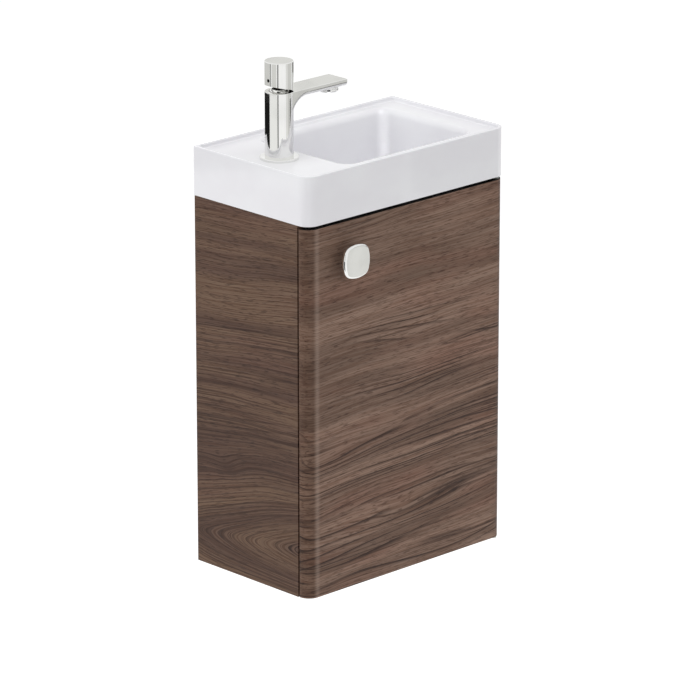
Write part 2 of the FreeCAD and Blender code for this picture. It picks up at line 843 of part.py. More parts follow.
def build_tap_moving():
    """The turning carrier with its round cap, and the handle that tips on it."""
    moving_disc_z = cartridge_z + 2 * disc_thickness + disc_gap
    carrier_z = moving_disc_z + disc_thickness
    cap_z = spout_z + cap_lift
    barrel = rod(carrier_radius, tap_point(carrier_z), UP, cap_z - carrier_z)
    cap = Part.makeSphere(cap_radius, tap_point(pivot_z))
    cap = cap.common(rod(cap_radius, tap_point(cap_z), UP, cap_radius))
    reach = stem_radius + stem_clearance
    lift = math.radians(handle_lift)
    back_reach = cap_radius * math.sin(lift) + stem_radius + stem_clearance
    front_reach = stem_below_pivot * math.sin(lift) + stem_radius + stem_clearance
    slot_foot = pivot_z - stem_below_pivot - stem_radius
    slot_top = pivot_z + cap_radius
    slot_high = box(tap_x - back_reach, tap_x + reach, tap_y - reach, tap_y + reach, pivot_z, slot_top)
    slot_low = box(tap_x - reach, tap_x + front_reach, tap_y - reach, tap_y + reach, slot_foot, pivot_z)
    pin_bore = rod(
        cross_pin_radius + running_gap, V(tap_x, tap_y - carrier_radius, pivot_z), BACK, 2 * carrier_radius
    )
    carrier = cut_all(barrel.fuse(cap).removeSplitter(), [slot_high, slot_low, pin_bore])

    handle = rod(body_radius, tap_point(spout_z), UP, handle_top - body_top)
    handle = handle.makeFillet(handle_edge, level_edges(handle, deck + handle_top))
    y_low = tap_y - 2 * body_radius
    wedge_points = [
        V(tap_x + body_radius, y_low, spout_z + handle_gap_front),
        V(tap_x - body_radius, y_low, spout_z + handle_gap_back),
        V(tap_x - body_radius, y_low, spout_z),
        V(tap_x + body_radius, y_low, spout_z),
        V(tap_x + body_radius, y_low, spout_z + handle_gap_front),
    ]
    wedge = Part.Face(Part.makePolygon(wedge_points)).extrude(V(0, 4 * body_radius, 0))
    socket = Part.makeSphere(cap_radius + cap_clearance, tap_point(pivot_z))
    grub_z = deck + grub_height
    grub_hole = rod(grub_radius, V(tap_x, tap_y, grub_z), LEFT, body_radius)
    grub = rod(grub_radius, V(tap_x - stem_radius, tap_y, grub_z), LEFT, grub_length).cut(stem())
    key = rod(grub_socket_radius, V(tap_x - stem_radius - grub_length, tap_y, grub_z), RIGHT, grub_length / 2)
    return {
        "cartridge_carrier": carrier,
        "moving_ceramic_disc": rod(carrier_radius, tap_point(moving_disc_z), UP, disc_thickness),
        "tap_handle": cut_all(handle, [wedge, socket, stem(), grub_hole]),
        "handle_stem": stem().cut(cross_pin()),
        "handle_cross_pin": cross_pin(),
        "handle_grub_screw": grub.cut(key),
    }


# Waste and trap
def waste_point(z):
    """A point on the waste's axis."""
    return V(waste_x, waste_y, z)


def waste_ring(outer, z, height):
    """A ring that fits round the waste's tube."""
    return tube(outer, waste_tube_radius, waste_point(z), UP, height)


def build_waste():
    """The grid waste in the bowl's floor, with its seals and backnut."""
    bore = waste_tube_radius - waste_tube_wall
    grid = rod(flange_radius, waste_point(flange_top - flange_thickness), UP, flange_thickness)
    grid = grid.makeFillet(flange_gap, level_edges(grid, flange_top))
    tube_length = waste_tube_length - flange_thickness
    body = grid.fuse(rod(waste_tube_radius, waste_point(tube_end), UP, tube_length)).removeSplitter()
    body = body.cut(rod(bore, waste_point(tube_end), UP, tube_length))
    holes = [rod(grid_hole_radius, waste_point(flange_top - flange_thickness), UP, flange_thickness)]
    for number in range(grid_holes):
        angle = 2 * math.pi * number / grid_holes
        offset = V(grid_ring_radius * math.cos(angle), grid_ring_radius * math.sin(angle), 0)
        start = waste_point(flange_top - flange_thickness) + offset
        holes.append(rod(grid_hole_radius, start, UP, flange_thickness))
    seal_radius = waste_tube_radius + seal_width
    lower_seal_z = bowl_underside - lower_seal_thickness
    backnut_z = lower_seal_z - backnut_height
    backnut = hexagon(backnut_flats, backnut_height, waste_x, waste_y, backnut_z)
    return {
        "waste_grid": cut_all(body, holes),
        "waste_upper_seal": waste_ring(seal_radius, flange_seat, upper_seal_thickness),
        "waste_lower_seal": waste_ring(seal_radius, lower_seal_z, lower_seal_thickness),
        "waste_backnut": backnut.cut(rod(waste_tube_radius, waste_point(backnut_z), UP, backnut_height)),
    }


def outlet_point(y):
    """A point on the outlet pipe's axis."""
    return V(waste_x, y, outlet_z)


def build_trap():
    """The bottle trap and its pipe to the wall."""
    nut_low = tube_end - trap_nut_below
    nut = rod(trap_nut_radius, waste_point(nut_low), UP, trap_nut_below + trap_nut_on_tube)
    collar_low = tube_end - pipe_collar_height
    nut = nut.cut(rod(waste_tube_radius, waste_point(collar_low), UP, pipe_collar_height + trap_nut_on_tube))
    nut = nut.cut(rod(pipe_radius, waste_point(nut_low), UP, trap_nut_below))

    dip_end = trap_bottom - dip_into_cup
    dip_length = tube_end - dip_end
    pipe_bore = pipe_radius - pipe_wall
    collar = rod(pipe_collar_radius, waste_point(collar_low), UP, pipe_collar_height)
    inlet = rod(pipe_radius, waste_point(dip_end), UP, dip_length).fuse(collar).removeSplitter()
    inlet = inlet.cut(rod(pipe_bore, waste_point(dip_end), UP, dip_length))

    bore = trap_radius - trap_wall
    spigot_end = waste_y + trap_radius + outlet_spigot_length
    spigot_length = spigot_end - waste_y
    body = rod(trap_radius, waste_point(trap_bottom), UP, trap_height)
    body = body.makeFillet(trap_wall, level_edges(body, trap_top))
    neck = rod(trap_neck_radius, waste_point(trap_top - trap_wall), UP, trap_neck_height + trap_wall)
    spigot = rod(outlet_spigot_radius, outlet_point(waste_y), BACK, spigot_length)
    body = body.fuse(neck).fuse(spigot).removeSplitter()
    body = body.cut(rod(bore, waste_point(trap_bottom), UP, trap_height - trap_wall))
    body = body.cut(rod(pipe_radius, waste_point(trap_bottom), UP, trap_height + trap_neck_height))
    body = body.cut(rod(pipe_radius, outlet_point(waste_y), BACK, spigot_length))

    cup_bottom = trap_bottom - cup_height
    cup = rod(trap_radius, waste_point(cup_bottom), UP, cup_height)
    cup = cup.makeFillet(cup_edge, level_edges(cup, cup_bottom))
    cup = cup.fuse(rod(bore, waste_point(trap_bottom), UP, cup_thread)).removeSplitter()
    cup_depth = cup_height - trap_wall + cup_thread
    cup = cup.cut(rod(bore - trap_wall, waste_point(cup_bottom + trap_wall), UP, cup_depth))

    outlet_start = waste_y + trap_radius
    outlet_length = pipe_in_wall - outlet_start
    outlet = rod(pipe_radius, outlet_point(outlet_start), BACK, outlet_length)
    bead = rod(pipe_radius + pipe_bead_height, outlet_point(-pipe_bead_length), BACK, pipe_bead_length)
    outlet = outlet.fuse(bead).removeSplitter()
    outlet = outlet.cut(rod(pipe_bore, outlet_point(outlet_start), BACK, outlet_length))

    nut_start = spigot_end - outlet_nut_length / 2
    outlet_nut = rod(outlet_nut_radius, outlet_point(nut_start), BACK, outlet_nut_length)
    nut_seat = rod(outlet_spigot_radius, outlet_point(nut_start), BACK, spigot_end - nut_start)
    outlet_nut = outlet_nut.cut(nut_seat)
    outlet_nut = outlet_nut.cut(rod(pipe_radius, outlet_point(nut_start), BACK, outlet_nut_length))

    face = outlet_point(-rosette_depth)
    rosette = Part.makeCone(rosette_face_radius, rosette_radius, rosette_depth, face, BACK)
    rosette = rosette.cut(outlet).cut(rod(pipe_radius, face, BACK, rosette_depth))
    return {
        "trap_inlet_nut": nut,
        "trap_inlet_pipe": inlet,
        "trap_body": body,
        "trap_cup": cup,
        "trap_outlet_nut": outlet_nut,
        "trap_outlet_pipe": outlet,
        "wall_rosette": rosette,
    }


def main():
    """Builds every piece and writes one file for each node."""
    os.makedirs("parts", exist_ok=True)
    builders = [
        build_cabinet,
        build_hinges,
        build_catch,
        build_door,
        build_basin,
        build_tap_fixed,
        build_tap_moving,
        build_waste,
        build_trap,
    ]
    for build in builders:
        for name, shape in build().items():
            shape.exportStep(f"parts/{name}.step")
            print(f"{name}: {len(shape.Solids)} solids, {shape.Volume:.0f} mm3, valid {shape.isValid()}")


main()
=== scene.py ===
"""Looks of a small wall-hung vanity unit.

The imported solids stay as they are, and each gets the finish of its real material. Geometry Nodes add the
small forms that repeat: screw threads, grip ribs, and the aerator's honeycomb and notched ring. Soft lamps, a
pale floor and cards that only reflections show stand round the part, and the camera has the photograph's
viewing angle. Lengths are in metres, except where a name or a docstring says millimetres.
"""

import logging
import math
from dataclasses import dataclass
from enum import Enum
from functools import cache
from typing import Any, Optional, Union

import bpy
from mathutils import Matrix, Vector


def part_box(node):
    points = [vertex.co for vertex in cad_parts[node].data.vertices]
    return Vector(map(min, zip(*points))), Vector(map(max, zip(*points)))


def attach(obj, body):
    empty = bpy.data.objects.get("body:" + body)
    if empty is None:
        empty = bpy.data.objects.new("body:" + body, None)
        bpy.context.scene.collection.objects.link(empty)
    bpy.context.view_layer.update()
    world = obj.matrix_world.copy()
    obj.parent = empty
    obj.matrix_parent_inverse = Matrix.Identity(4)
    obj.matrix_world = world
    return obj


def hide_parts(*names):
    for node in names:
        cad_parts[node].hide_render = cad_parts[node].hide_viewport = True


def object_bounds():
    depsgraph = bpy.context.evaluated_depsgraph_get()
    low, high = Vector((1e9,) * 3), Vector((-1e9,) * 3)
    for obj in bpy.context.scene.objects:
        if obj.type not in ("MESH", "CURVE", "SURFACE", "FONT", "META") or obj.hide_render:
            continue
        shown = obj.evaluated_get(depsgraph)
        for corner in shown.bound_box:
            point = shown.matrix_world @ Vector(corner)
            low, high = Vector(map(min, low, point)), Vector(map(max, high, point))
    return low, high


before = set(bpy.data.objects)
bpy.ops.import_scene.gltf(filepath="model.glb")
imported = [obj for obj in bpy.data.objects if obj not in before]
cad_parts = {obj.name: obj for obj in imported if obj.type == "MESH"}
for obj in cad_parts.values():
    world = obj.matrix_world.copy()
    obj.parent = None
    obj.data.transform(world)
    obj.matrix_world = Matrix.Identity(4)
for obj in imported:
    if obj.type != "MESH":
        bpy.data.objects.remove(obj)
CAD_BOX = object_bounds()

MM = 0.001
LOG = logging.getLogger("vanity")

# A face looks along an axis if its normal has more than this share of it. It lies at the wall within a slack.
LOOKS_ALONG = 0.9
WALL_SLACK_MM = 0.3

Colour = tuple[float, float, float, float]
Pair = tuple[float, float]
Triple = tuple[float, float, float]
Node = bpy.types.Node
Link = Union[Node, bpy.types.NodeSocket]


def linear(colour: str) -> Colour:
    """Turns an sRGB hex value into the linear colour that a socket takes.

    Args:
        colour: six hex digits after a number sign.
    Returns:
        Red, green, blue and alpha.
    """
    channels = [int(colour[start:start + 2], 16) / 255 for start in (1, 3, 5)]
    red, green, blue = (c / 12.92 if c <= 0.04045 else ((c + 0.055) / 1.055) ** 2.4 for c in channels)
    return (red, green, blue, 1.0)


# The usual steps of a finish: each has its node's type, the inputs that it fills in order, and its settings.
SUMS = ("ADD", "SUBTRACT", "MULTIPLY", "DIVIDE", "MULTIPLY_ADD", "POWER", "SQRT", "ABSOLUTE", "FRACT",
        "MAXIMUM", "GREATER_THAN")
Step = Enum("Step", {
    **{name: ("ShaderNodeMath", (0, 1, 2), {"operation": name}) for name in SUMS},
    "RAMP": ("ShaderNodeMapRange", ("Value", "From Min", "From Max", "To Min", "To Max"),
             {"interpolation_type": "SMOOTHSTEP"}),
    "MIX": ("ShaderNodeMix", ("Factor", "A", "B"), {"data_type": "RGBA", "blend_type": "MIX"}),
    "TINT": ("ShaderNodeMix", ("Factor", "A", "B"), {"data_type": "RGBA", "blend_type": "MULTIPLY"}),
})


class Tree:
    """A node tree that is being written."""

    def __init__(self, tree: bpy.types.NodeTree) -> None:
        """Takes the tree."""
        self.tree = tree

    def plug(self, socket: bpy.types.NodeSocket, value: Any) -> None:
        """Links a node or a socket to an input, or sets the input's own value.

        Args:
            socket: the input.
            value: what goes into it.
        """
        if isinstance(value, Node):
            value = next(s for s in value.outputs if s.enabled)
        if isinstance(value, bpy.types.NodeSocket):
            self.tree.links.new(value, socket)
        else:
            socket.default_value = value

    def add(self, kind: Union[str, Step], *given: Any, **settings: Any) -> Node:
        """Adds a node with its settings, values and links.

        Args:
            kind: a usual step, or a node's type name.
            given: what goes into a step's inputs in order. With a type name, one dictionary of what goes into
                each input, by its name or number, and a list puts in each of its items.
            settings: the node's properties, with a type name.
        Returns:
            The new node.
        """
        inputs = given[0] if given else {}
        if isinstance(kind, Step):
            kind, order, settings = kind.value
            inputs = dict(zip(order, given))
        node = self.tree.nodes.new(kind)
        for name, value in settings.items():
            setattr(node, name, value)
        for key, value in inputs.items():
            socket = node.inputs[key] if isinstance(key, int) else next(
                s for s in node.inputs if s.name == key and s.enabled)
            for item in value if isinstance(value, list) else [value]:
                self.plug(socket, item)
        return node


class Surface(Tree):
    """A material's node tree while a finish is written into it, with Object coordinates in millimetres."""

    def __init__(self, name: str) -> None:
        """Starts an empty material with a Principled shader.

        Args:
            name: the material's name.
        """
        self.material = bpy.data.materials.new(name)
        self.material.use_nodes = True
        super().__init__(self.material.node_tree)
        self.shader = self.tree.nodes["Principled BSDF"]
        self.where = self.add("ShaderNodeTexCoord")
        self.place = self.add("ShaderNodeVectorMath", {0: self.where.outputs["Object"], "Scale": 1 / MM},
                              operation="SCALE")

    def mottle(self, point: Link, pitch: Triple, detail: float = 2.0,
               roughness: float = 0.5) -> Node:
        """Lays an uneven pattern whose blobs have a real size.

        Args:
            point: the place, in millimetres.
            pitch: the blobs' size along each axis, in millimetres.
            detail: how many finer octaves are added.
            roughness: how strong the finer octaves are.
        Returns:
            The pattern, from 0 to 1.
        """
        scale = tuple(1 / size for size in pitch)
        scaled = self.add("ShaderNodeVectorMath", {0: point, 1: scale}, operation="MULTIPLY")
        return self.add("ShaderNodeTexNoise", {
            "Vector": scaled, "Scale": 1.0, "Detail": detail, "Roughness": roughness})

    def shade(self, pattern: Link, start: float, end: float, first: str, second: str) -> Node:
        """Goes from one sRGB colour to another where a pattern rises from start to end."""
        return self.add(Step.MIX, self.add(Step.RAMP, pattern, start, end), linear(first), linear(second))

    def against_wall(self) -> Node:
        """Finds the faces that lie at the wall and look at it.

        Returns:
            1 on those faces, and 0 elsewhere.
        """
        normal = self.add("ShaderNodeSeparateXYZ", {0: self.where.outputs["Normal"]})
        axes = self.add("ShaderNodeSeparateXYZ", {0: self.place})
        facing = self.add(Step.GREATER_THAN, normal.outputs["Y"], LOOKS_ALONG)
        at_wall = self.add(Step.GREATER_THAN, axes.outputs["Y"], -WALL_SLACK_MM)
        return self.add(Step.MULTIPLY, facing, at_wall)

    def finish(self, bump_height: Optional[Link] = None, bump_depth_mm: float = 0.0,
               **inputs: Any) -> bpy.types.Material:
        """Sets the shader's inputs and closes the material.

        Args:
            bump_height: a height from 0 to 1, if the surface has relief.
            bump_depth_mm: the relief's depth in millimetres.
            inputs: values or links for the shader, with underscores for spaces in a name.
        Returns:
            The finished material.
        """
        if bump_height is not None:
            inputs["Normal"] = self.add("ShaderNodeBump", {
                "Height": bump_height, "Distance": bump_depth_mm * MM})
        for name, value in inputs.items():
            name = name.replace("_", " ").replace("Specular Level", "Specular IOR Level")
            self.plug(self.shader.inputs[name], value)
        return self.material


class Lie(Enum):
    """How a board lies: the turn in degrees that puts its grain along X and stacks its lines along Z."""

    FRONT = (0.0, 0.0, 0.0)
    SIDE = (0.0, 0.0, -90.0)
    FLAT = (90.0, 0.0, 0.0)


@dataclass(frozen=True)
class GrainEye:
    """A place where grain lines bow round a knot, or close to ovals where the lift is large.

    The middle is given along and across the grain, with the reach each way, and lift is how far a line is
    moved, all in millimetres. Heart is how dark the print is at the middle, from 0 to 1.
    """

    along: float
    across: float
    half_length: float
    half_height: float
    lift: float
    heart: float = 0.0


@dataclass(frozen=True)
class GrainArch:
    """Grain lines that meet in pointed arches, as where a board is sawn near the heart of the tree.

    The arches' axis lies at one height across the grain. They open along the grain by a slope, fade out over
    a half height, and their tips have a round. All but the slope are in millimetres.
    """

    across: float
    half_height: float
    slope: float
    tip: float


@dataclass(frozen=True)
class WalnutDecor:
    """Chipboard faced with a printed walnut foil, matt lacquered.

    The print gives soft tone bands and faint red-brown patches, thin dark growth lines that run long and
    nearly straight and gather in groups, and fine fibres. The lacquer gives a dull sheen with the pores
    pressed in. Real fibres are 0.3 mm wide and pores 0.2 mm, and both are drawn six times as coarse to show.
    """

    name: str
    lie: Lie
    pale: str = "#957b6b"
    deep: str = "#735c4e"
    streak: str = "#2c1408"
    ruddy: str = "#906d5d"
    fibre: str = "#b69c8a"
    pore: str = "#80644f"
    # Painted light on the door: shade round the bends, a highlight at the left bend, and near-black shadow on
    # the top and bottom edges.
    painted_bend_shade: str = "#d8d1cc"
    painted_bend_highlight: str = "#b8a497"
    gap_shadow_tones: tuple[str, str] = ("#070605", "#0d0b0a")
    chip_tones: tuple[str, str] = ("#8d7350", "#c9b48c")
    rise: float = -0.03
    start_mm: Triple = (0.0, 0.0, 0.0)
    eyes: tuple[GrainEye, ...] = ()
    arch: Optional[GrainArch] = None
    ink: float = 0.92
    growth_mm: float = 12.0
    streak_top_mm: float = 20.0
    streak_fade_mm: float = 120.0
    bend_at_mm: float = 0.0
    bend_fade_mm: float = 8.0
    # Width of the painted highlight at the left bend, in millimetres.
    bend_highlight_mm: float = 7.0
    raw_back: bool = False
    waves_mm: tuple[tuple[Triple, float], ...] = (((420, 420, 150), 34.0), ((130, 130, 46), 5.0))
    spread_mm: Triple = (600, 90, 75)
    spread_lines: float = 9.0
    fade_mm: Triple = (380, 60, 15)
    band_mm: Triple = (700, 90, 30)
    patch_mm: Triple = (230, 90, 42)
    cluster_mm: Triple = (320, 120, 60)
    streak_mm: Triple = (520, 60, 3.6)
    fibre_mm: Triple = (150, 20, 1.8)
    pore_mm: Triple = (16, 6, 1.3)
    speck_mm: Triple = (3.0, 3.0, 3.0)
    chip_mm: Triple = (2.6, 2.6, 1.4)
    relief_mm: float = 0.12

    def grain(self, surface: Surface) -> tuple[Node, Node, Any]:
        """Lays the bent grain over the board.

        Args:
            surface: the material.
        Returns:
            The height of the grain line at each place and the place with that height for its Z, both in
            millimetres, and how dark the hearts of the eyes are.
        """
        turn = tuple(math.radians(angle) for angle in self.lie.value)
        board = surface.add("ShaderNodeMapping", {
            "Vector": surface.place, "Rotation": turn, "Location": self.start_mm})
        parts = surface.add("ShaderNodeSeparateXYZ", {0: board})
        along, across = parts.outputs["X"], parts.outputs["Z"]
        line = surface.add(Step.MULTIPLY_ADD, along, self.rise, across)
        if self.arch:
            climb = surface.add(Step.SUBTRACT, line, self.arch.across)
            square = surface.add(Step.MULTIPLY, climb, climb)
            reach = surface.add(Step.DIVIDE, square, self.arch.half_height**2)
            fade = surface.add(Step.POWER, 1 / math.e, reach)
            ring = surface.add(Step.SQRT, surface.add(Step.ADD, square, self.arch.tip**2))
            opening = surface.add(Step.MULTIPLY, along, self.arch.slope)
            line = surface.add(Step.MULTIPLY_ADD, opening, fade, ring)
        for pitch, swing in self.waves_mm:
            wave = surface.add(Step.SUBTRACT, surface.mottle(board, pitch, detail=1.0), 0.5)
            line = surface.add(Step.MULTIPLY_ADD, wave, swing, line)
        hearts = 0.0
        for eye in self.eyes:
            run = surface.add(Step.MULTIPLY_ADD, along, 1 / eye.half_length, -eye.along / eye.half_length)
            climb = surface.add(Step.MULTIPLY_ADD, across, 1 / eye.half_height, -eye.across / eye.half_height)
            reach = surface.add(Step.MULTIPLY_ADD, run, run, surface.add(Step.MULTIPLY, climb, climb))
            bell = surface.add(Step.POWER, 1 / math.e, reach)
            line = surface.add(Step.MULTIPLY_ADD, bell, eye.lift, line)
            if eye.heart:
                middle = surface.add(Step.RAMP, bell, 0.35, 1.0)
                hearts = surface.add(Step.MULTIPLY_ADD, middle, eye.heart, hearts)
        place = surface.add("ShaderNodeCombineXYZ", {"X": along, "Y": parts.outputs["Y"], "Z": line})
        return line, place, hearts

    def ink_lines(self, surface: Surface, line: Link, grain: Link, height: Link) -> Node:
        """Draws growth lines and streaks, gathered in groups that are denser low on the board.

        A growth line darkens slowly, ends sharply, and fades in and out along its length.

        Args:
            surface: the material.
            line: the height of the grain line.
            grain: the place along the grain.
            height: the height on the board, in millimetres.
        Returns:
            How dark the lines are, from 0 to 1.
        """
        spread = surface.mottle(grain, self.spread_mm, detail=1.0)
        plain = surface.add(Step.DIVIDE, line, self.growth_mm)
        count = surface.add(Step.MULTIPLY_ADD, spread, self.spread_lines, plain)
        late = surface.add(Step.RAMP, surface.add(Step.FRACT, count), 0.66, 0.97)
        faded = surface.add(Step.RAMP, surface.mottle(grain, self.fade_mm), 0.34, 0.54)
        growth = surface.add(Step.MULTIPLY, late, faded)
        streaks = surface.add(Step.RAMP, surface.mottle(grain, self.streak_mm), 0.55, 0.64)
        dark = surface.add(Step.MAXIMUM, growth, surface.add(Step.MULTIPLY, streaks, 0.8))
        clusters = surface.mottle(grain, self.cluster_mm, detail=1.0)
        low_down = surface.add(Step.RAMP, height, self.streak_top_mm + self.streak_fade_mm,
                               self.streak_top_mm - self.streak_fade_mm, -0.14, 0.12)
        gathered = surface.add(Step.RAMP, surface.add(Step.ADD, clusters, low_down), 0.38, 0.60, 0.12, 1.0)
        return surface.add(Step.MULTIPLY, dark, gathered)

    def material(self) -> bpy.types.Material:
        """Makes the decor's material.

        Returns:
            The finished material.
        """
        surface = Surface(self.name)
        line, grain, hearts = self.grain(surface)
        axes = surface.add("ShaderNodeSeparateXYZ", {0: surface.place})
        bands = surface.mottle(grain, self.band_mm, detail=3.0, roughness=0.55)
        colour = surface.shade(bands, 0.36, 0.66, self.deep, self.pale)
        red = surface.add(Step.RAMP, surface.mottle(grain, self.patch_mm), 0.46, 0.76, 0.0, 0.6)
        colour = surface.add(Step.MIX, red, colour, linear(self.ruddy))
        dark = surface.add(Step.MAXIMUM, self.ink_lines(surface, line, grain, axes.outputs["Z"]), hearts)
        inked = surface.add(Step.MULTIPLY, dark, self.ink)
        colour = surface.add(Step.MIX, inked, colour, linear(self.streak))
        fibres = surface.mottle(grain, self.fibre_mm, roughness=0.6)
        fine = surface.add(Step.RAMP, fibres, 0.40, 0.62, 0.0, 0.6)
        colour = surface.add(Step.TINT, fine, colour, linear(self.fibre))
        pores = surface.add(Step.RAMP, surface.mottle(grain, self.pore_mm, detail=1.0), 0.56, 0.68)
        colour = surface.add(Step.TINT, surface.add(Step.MULTIPLY, pores, 0.6), colour, linear(self.pore))
        # The door's painted shade and highlight at its bends, and painted shadow on its top and bottom edges.
        if self.bend_at_mm:
            colour = self.paint_edge_light(surface, colour, axes.outputs["X"])
        if self.raw_back:
            # The board's unfaced edge against the wall shows its chips.
            chips = surface.mottle(surface.place, self.chip_mm, detail=3.0, roughness=0.7)
            core = surface.shade(chips, 0.38, 0.64, *self.chip_tones)
            colour = surface.add(Step.MIX, surface.against_wall(), colour, core)
        roughness = surface.add(Step.RAMP, fibres, 0.3, 0.7, 0.46, 0.60)
        relief = surface.add(Step.MULTIPLY_ADD, pores, -0.8, fibres)
        return surface.finish(relief, self.relief_mm, Base_Color=colour, Roughness=roughness, IOR=1.5,
                              Specular_Level=0.25)

    def paint_edge_light(self, surface: Surface, colour: Link, across_door: Link) -> Node:
        """Paints shade round the door's upright edges and a highlight where the left bend starts.

        The other two edges are painted near-black as shadow, so that the gap at the basin reads dark.

        Args:
            surface: the material.
            colour: the colour so far.
            across_door: the place across the door, in millimetres from its middle.
        Returns:
            The new colour.
        """
        out = surface.add(Step.ABSOLUTE, across_door)
        # Painted shade round the upright edges.
        shaded_bend = surface.add(Step.RAMP, out, self.bend_at_mm, self.bend_at_mm + self.bend_fade_mm)
        colour = surface.add(Step.TINT, shaded_bend, colour, linear(self.painted_bend_shade))
        # Painted highlight where the left bend leaves the flat.
        off_line = surface.add(Step.ABSOLUTE, surface.add(Step.ADD, across_door, self.bend_at_mm))
        gleam = surface.add(Step.RAMP, off_line, 0.0, self.bend_highlight_mm, 0.22, 0.0)
        colour = surface.add(Step.MIX, gleam, colour, linear(self.painted_bend_highlight))
        # Painted shadow: the top and bottom edges go near-black and stand for the shade in the gap at the
        # basin.
        normal = surface.add("ShaderNodeSeparateXYZ", {0: surface.where.outputs["Normal"]})
        upright = surface.add(Step.ABSOLUTE, normal.outputs["Z"])
        level = surface.add(Step.GREATER_THAN, upright, LOOKS_ALONG)
        specks = surface.mottle(surface.place, self.speck_mm, detail=1.0)
        band = surface.add(Step.MIX, specks, *map(linear, self.gap_shadow_tones))
        return surface.add(Step.MIX, level, colour, band)


@dataclass(frozen=True)
class Marked:
    """Stuff in two close tones: slow clouds shade it, and the fine marks of its making dull it unevenly."""

    name: str
    colour: str
    tint: str
    smooth: float
    dull: float
    mark_mm: Triple
    mark_depth_mm: float
    cloud_mm: Triple = (18.0, 18.0, 9.0)
    cloud_span: Pair = (0.38, 0.66)
    cloud_wear: float = 0.0
    mark_span: Pair = (0.35, 0.65)
    details: Pair = (2.0, 1.0)
    octaves: float = 0.5
    metallic: float = 0.0
    ior: float = 1.5

    def material(self) -> bpy.types.Material:
        """Makes the material.

        Returns:
            The finished material.
        """
        surface = Surface(self.name)
        clouds, marks = (surface.mottle(surface.place, pitch, detail, self.octaves)
                         for pitch, detail in zip((self.cloud_mm, self.mark_mm), self.details))
        colour = surface.shade(clouds, *self.cloud_span, self.colour, self.tint)
        slow = surface.add(Step.MULTIPLY, clouds, self.cloud_wear)
        wear = surface.add(Step.MULTIPLY_ADD, marks, 1 - self.cloud_wear, slow)
        roughness = surface.add(Step.RAMP, wear, *self.mark_span, self.smooth, self.dull)
        return surface.finish(marks, self.mark_depth_mm, Base_Color=colour, Roughness=roughness,
                              Metallic=self.metallic, IOR=self.ior)


@dataclass(frozen=True)
class Moulding(Marked):
    """A moulded plastic or rubber.

    The tool's fine spark grain gives a soft even sheen, and slow flow marks shade the colour a little.
    """


@dataclass(frozen=True)
class Metal(Marked):
    """A bare or plated metal.

    Polishing leaves clear reflections with faint smears, turning and rolling leave fine lines that dull them.
    """

    cloud_span: Pair = (0.40, 0.68)
    cloud_wear: float = 0.6
    mark_span: Pair = (0.36, 0.66)
    details: Pair = (3.0, 2.0)
    metallic: float = 1.0


@dataclass(frozen=True)
class Sintered(Marked):
    """A pressed and fired powder, ground flat. Grinding leaves a fine even speckle with a dull shine."""

    cloud_span: Pair = (0.5, 0.72)
    mark_span: Pair = (0.3, 0.7)
    details: Pair = (3.0, 3.0)
    octaves: float = 0.7
    ior: float = 1.77


@dataclass(frozen=True)
class PlatedMoulding:
    """Black moulded acetal with a chrome plated skirt: a bright ring round a dull black middle."""

    name: str = "black_acetal_with_plated_skirt"
    black: str = "#0c0c0c"
    grain: str = "#161617"
    plate: str = "#ebebe9"
    axis_mm: Pair = (-143.0, -119.0)
    bare_radius_mm: float = 10.5
    grain_mm: float = 0.8
    grain_depth_mm: float = 0.005

    def material(self) -> bpy.types.Material:
        """Makes the two-tone surface.

        Returns:
            The finished material.
        """
        surface = Surface(self.name)
        parts = surface.add("ShaderNodeSeparateXYZ", {0: surface.place})
        across = surface.add(Step.SUBTRACT, parts.outputs["X"], self.axis_mm[0])
        ahead = surface.add(Step.SUBTRACT, parts.outputs["Y"], self.axis_mm[1])
        square = surface.add(Step.MULTIPLY_ADD, across, across, surface.add(Step.MULTIPLY, ahead, ahead))
        plated = surface.add(Step.GREATER_THAN, surface.add(Step.SQRT, square), self.bare_radius_mm)
        grain = surface.mottle(surface.place, (self.grain_mm,) * 3, detail=1.0)
        bare = surface.add(Step.MIX, grain, linear(self.black), linear(self.grain))
        colour = surface.add(Step.MIX, plated, bare, linear(self.plate))
        dull = surface.add(Step.RAMP, grain, 0.3, 0.7, 0.32, 0.42)
        roughness = surface.add(Step.MULTIPLY_ADD, plated, -0.25, dull)
        return surface.finish(grain, self.grain_depth_mm, Base_Color=colour, Metallic=plated,
                              Roughness=roughness)


@dataclass(frozen=True)
class GlazedCeramic:
    """Vitreous china under a clear white glaze, bare on the back that stands against the wall.

    The glaze is cool white with a faint cloudiness, and its slow waves make reflections swim a little.
    """

    name: str = "glazed_vitreous_china"
    colour: str = "#f6f6f9"
    cloud: str = "#f2f1f5"
    bisque: str = "#ddd6c8"
    grit: str = "#cfc6b5"
    cloud_mm: Triple = (110, 110, 80)
    grit_mm: float = 1.6
    wave_mm: float = 14.0
    wave_depth_mm: float = 0.02

    def material(self) -> bpy.types.Material:
        """Makes the glaze.

        Returns:
            The finished material.
        """
        surface = Surface(self.name)
        clouds = surface.mottle(surface.place, self.cloud_mm, detail=3.0)
        glaze = surface.shade(clouds, 0.38, 0.68, self.colour, self.cloud)
        grit = surface.mottle(surface.place, (self.grit_mm,) * 3, detail=3.0)
        biscuit = surface.shade(grit, 0.4, 0.65, self.bisque, self.grit)
        bare = surface.against_wall()
        colour = surface.add(Step.MIX, bare, glaze, biscuit)
        waves = surface.mottle(surface.place, (self.wave_mm,) * 3, detail=1.0)
        gloss = surface.add(Step.RAMP, waves, 0.3, 0.7, 0.07, 0.12)
        roughness = surface.add(Step.MULTIPLY_ADD, bare, 0.6, gloss)
        return surface.finish(waves, self.wave_depth_mm, Base_Color=colour, Roughness=roughness, IOR=1.52)


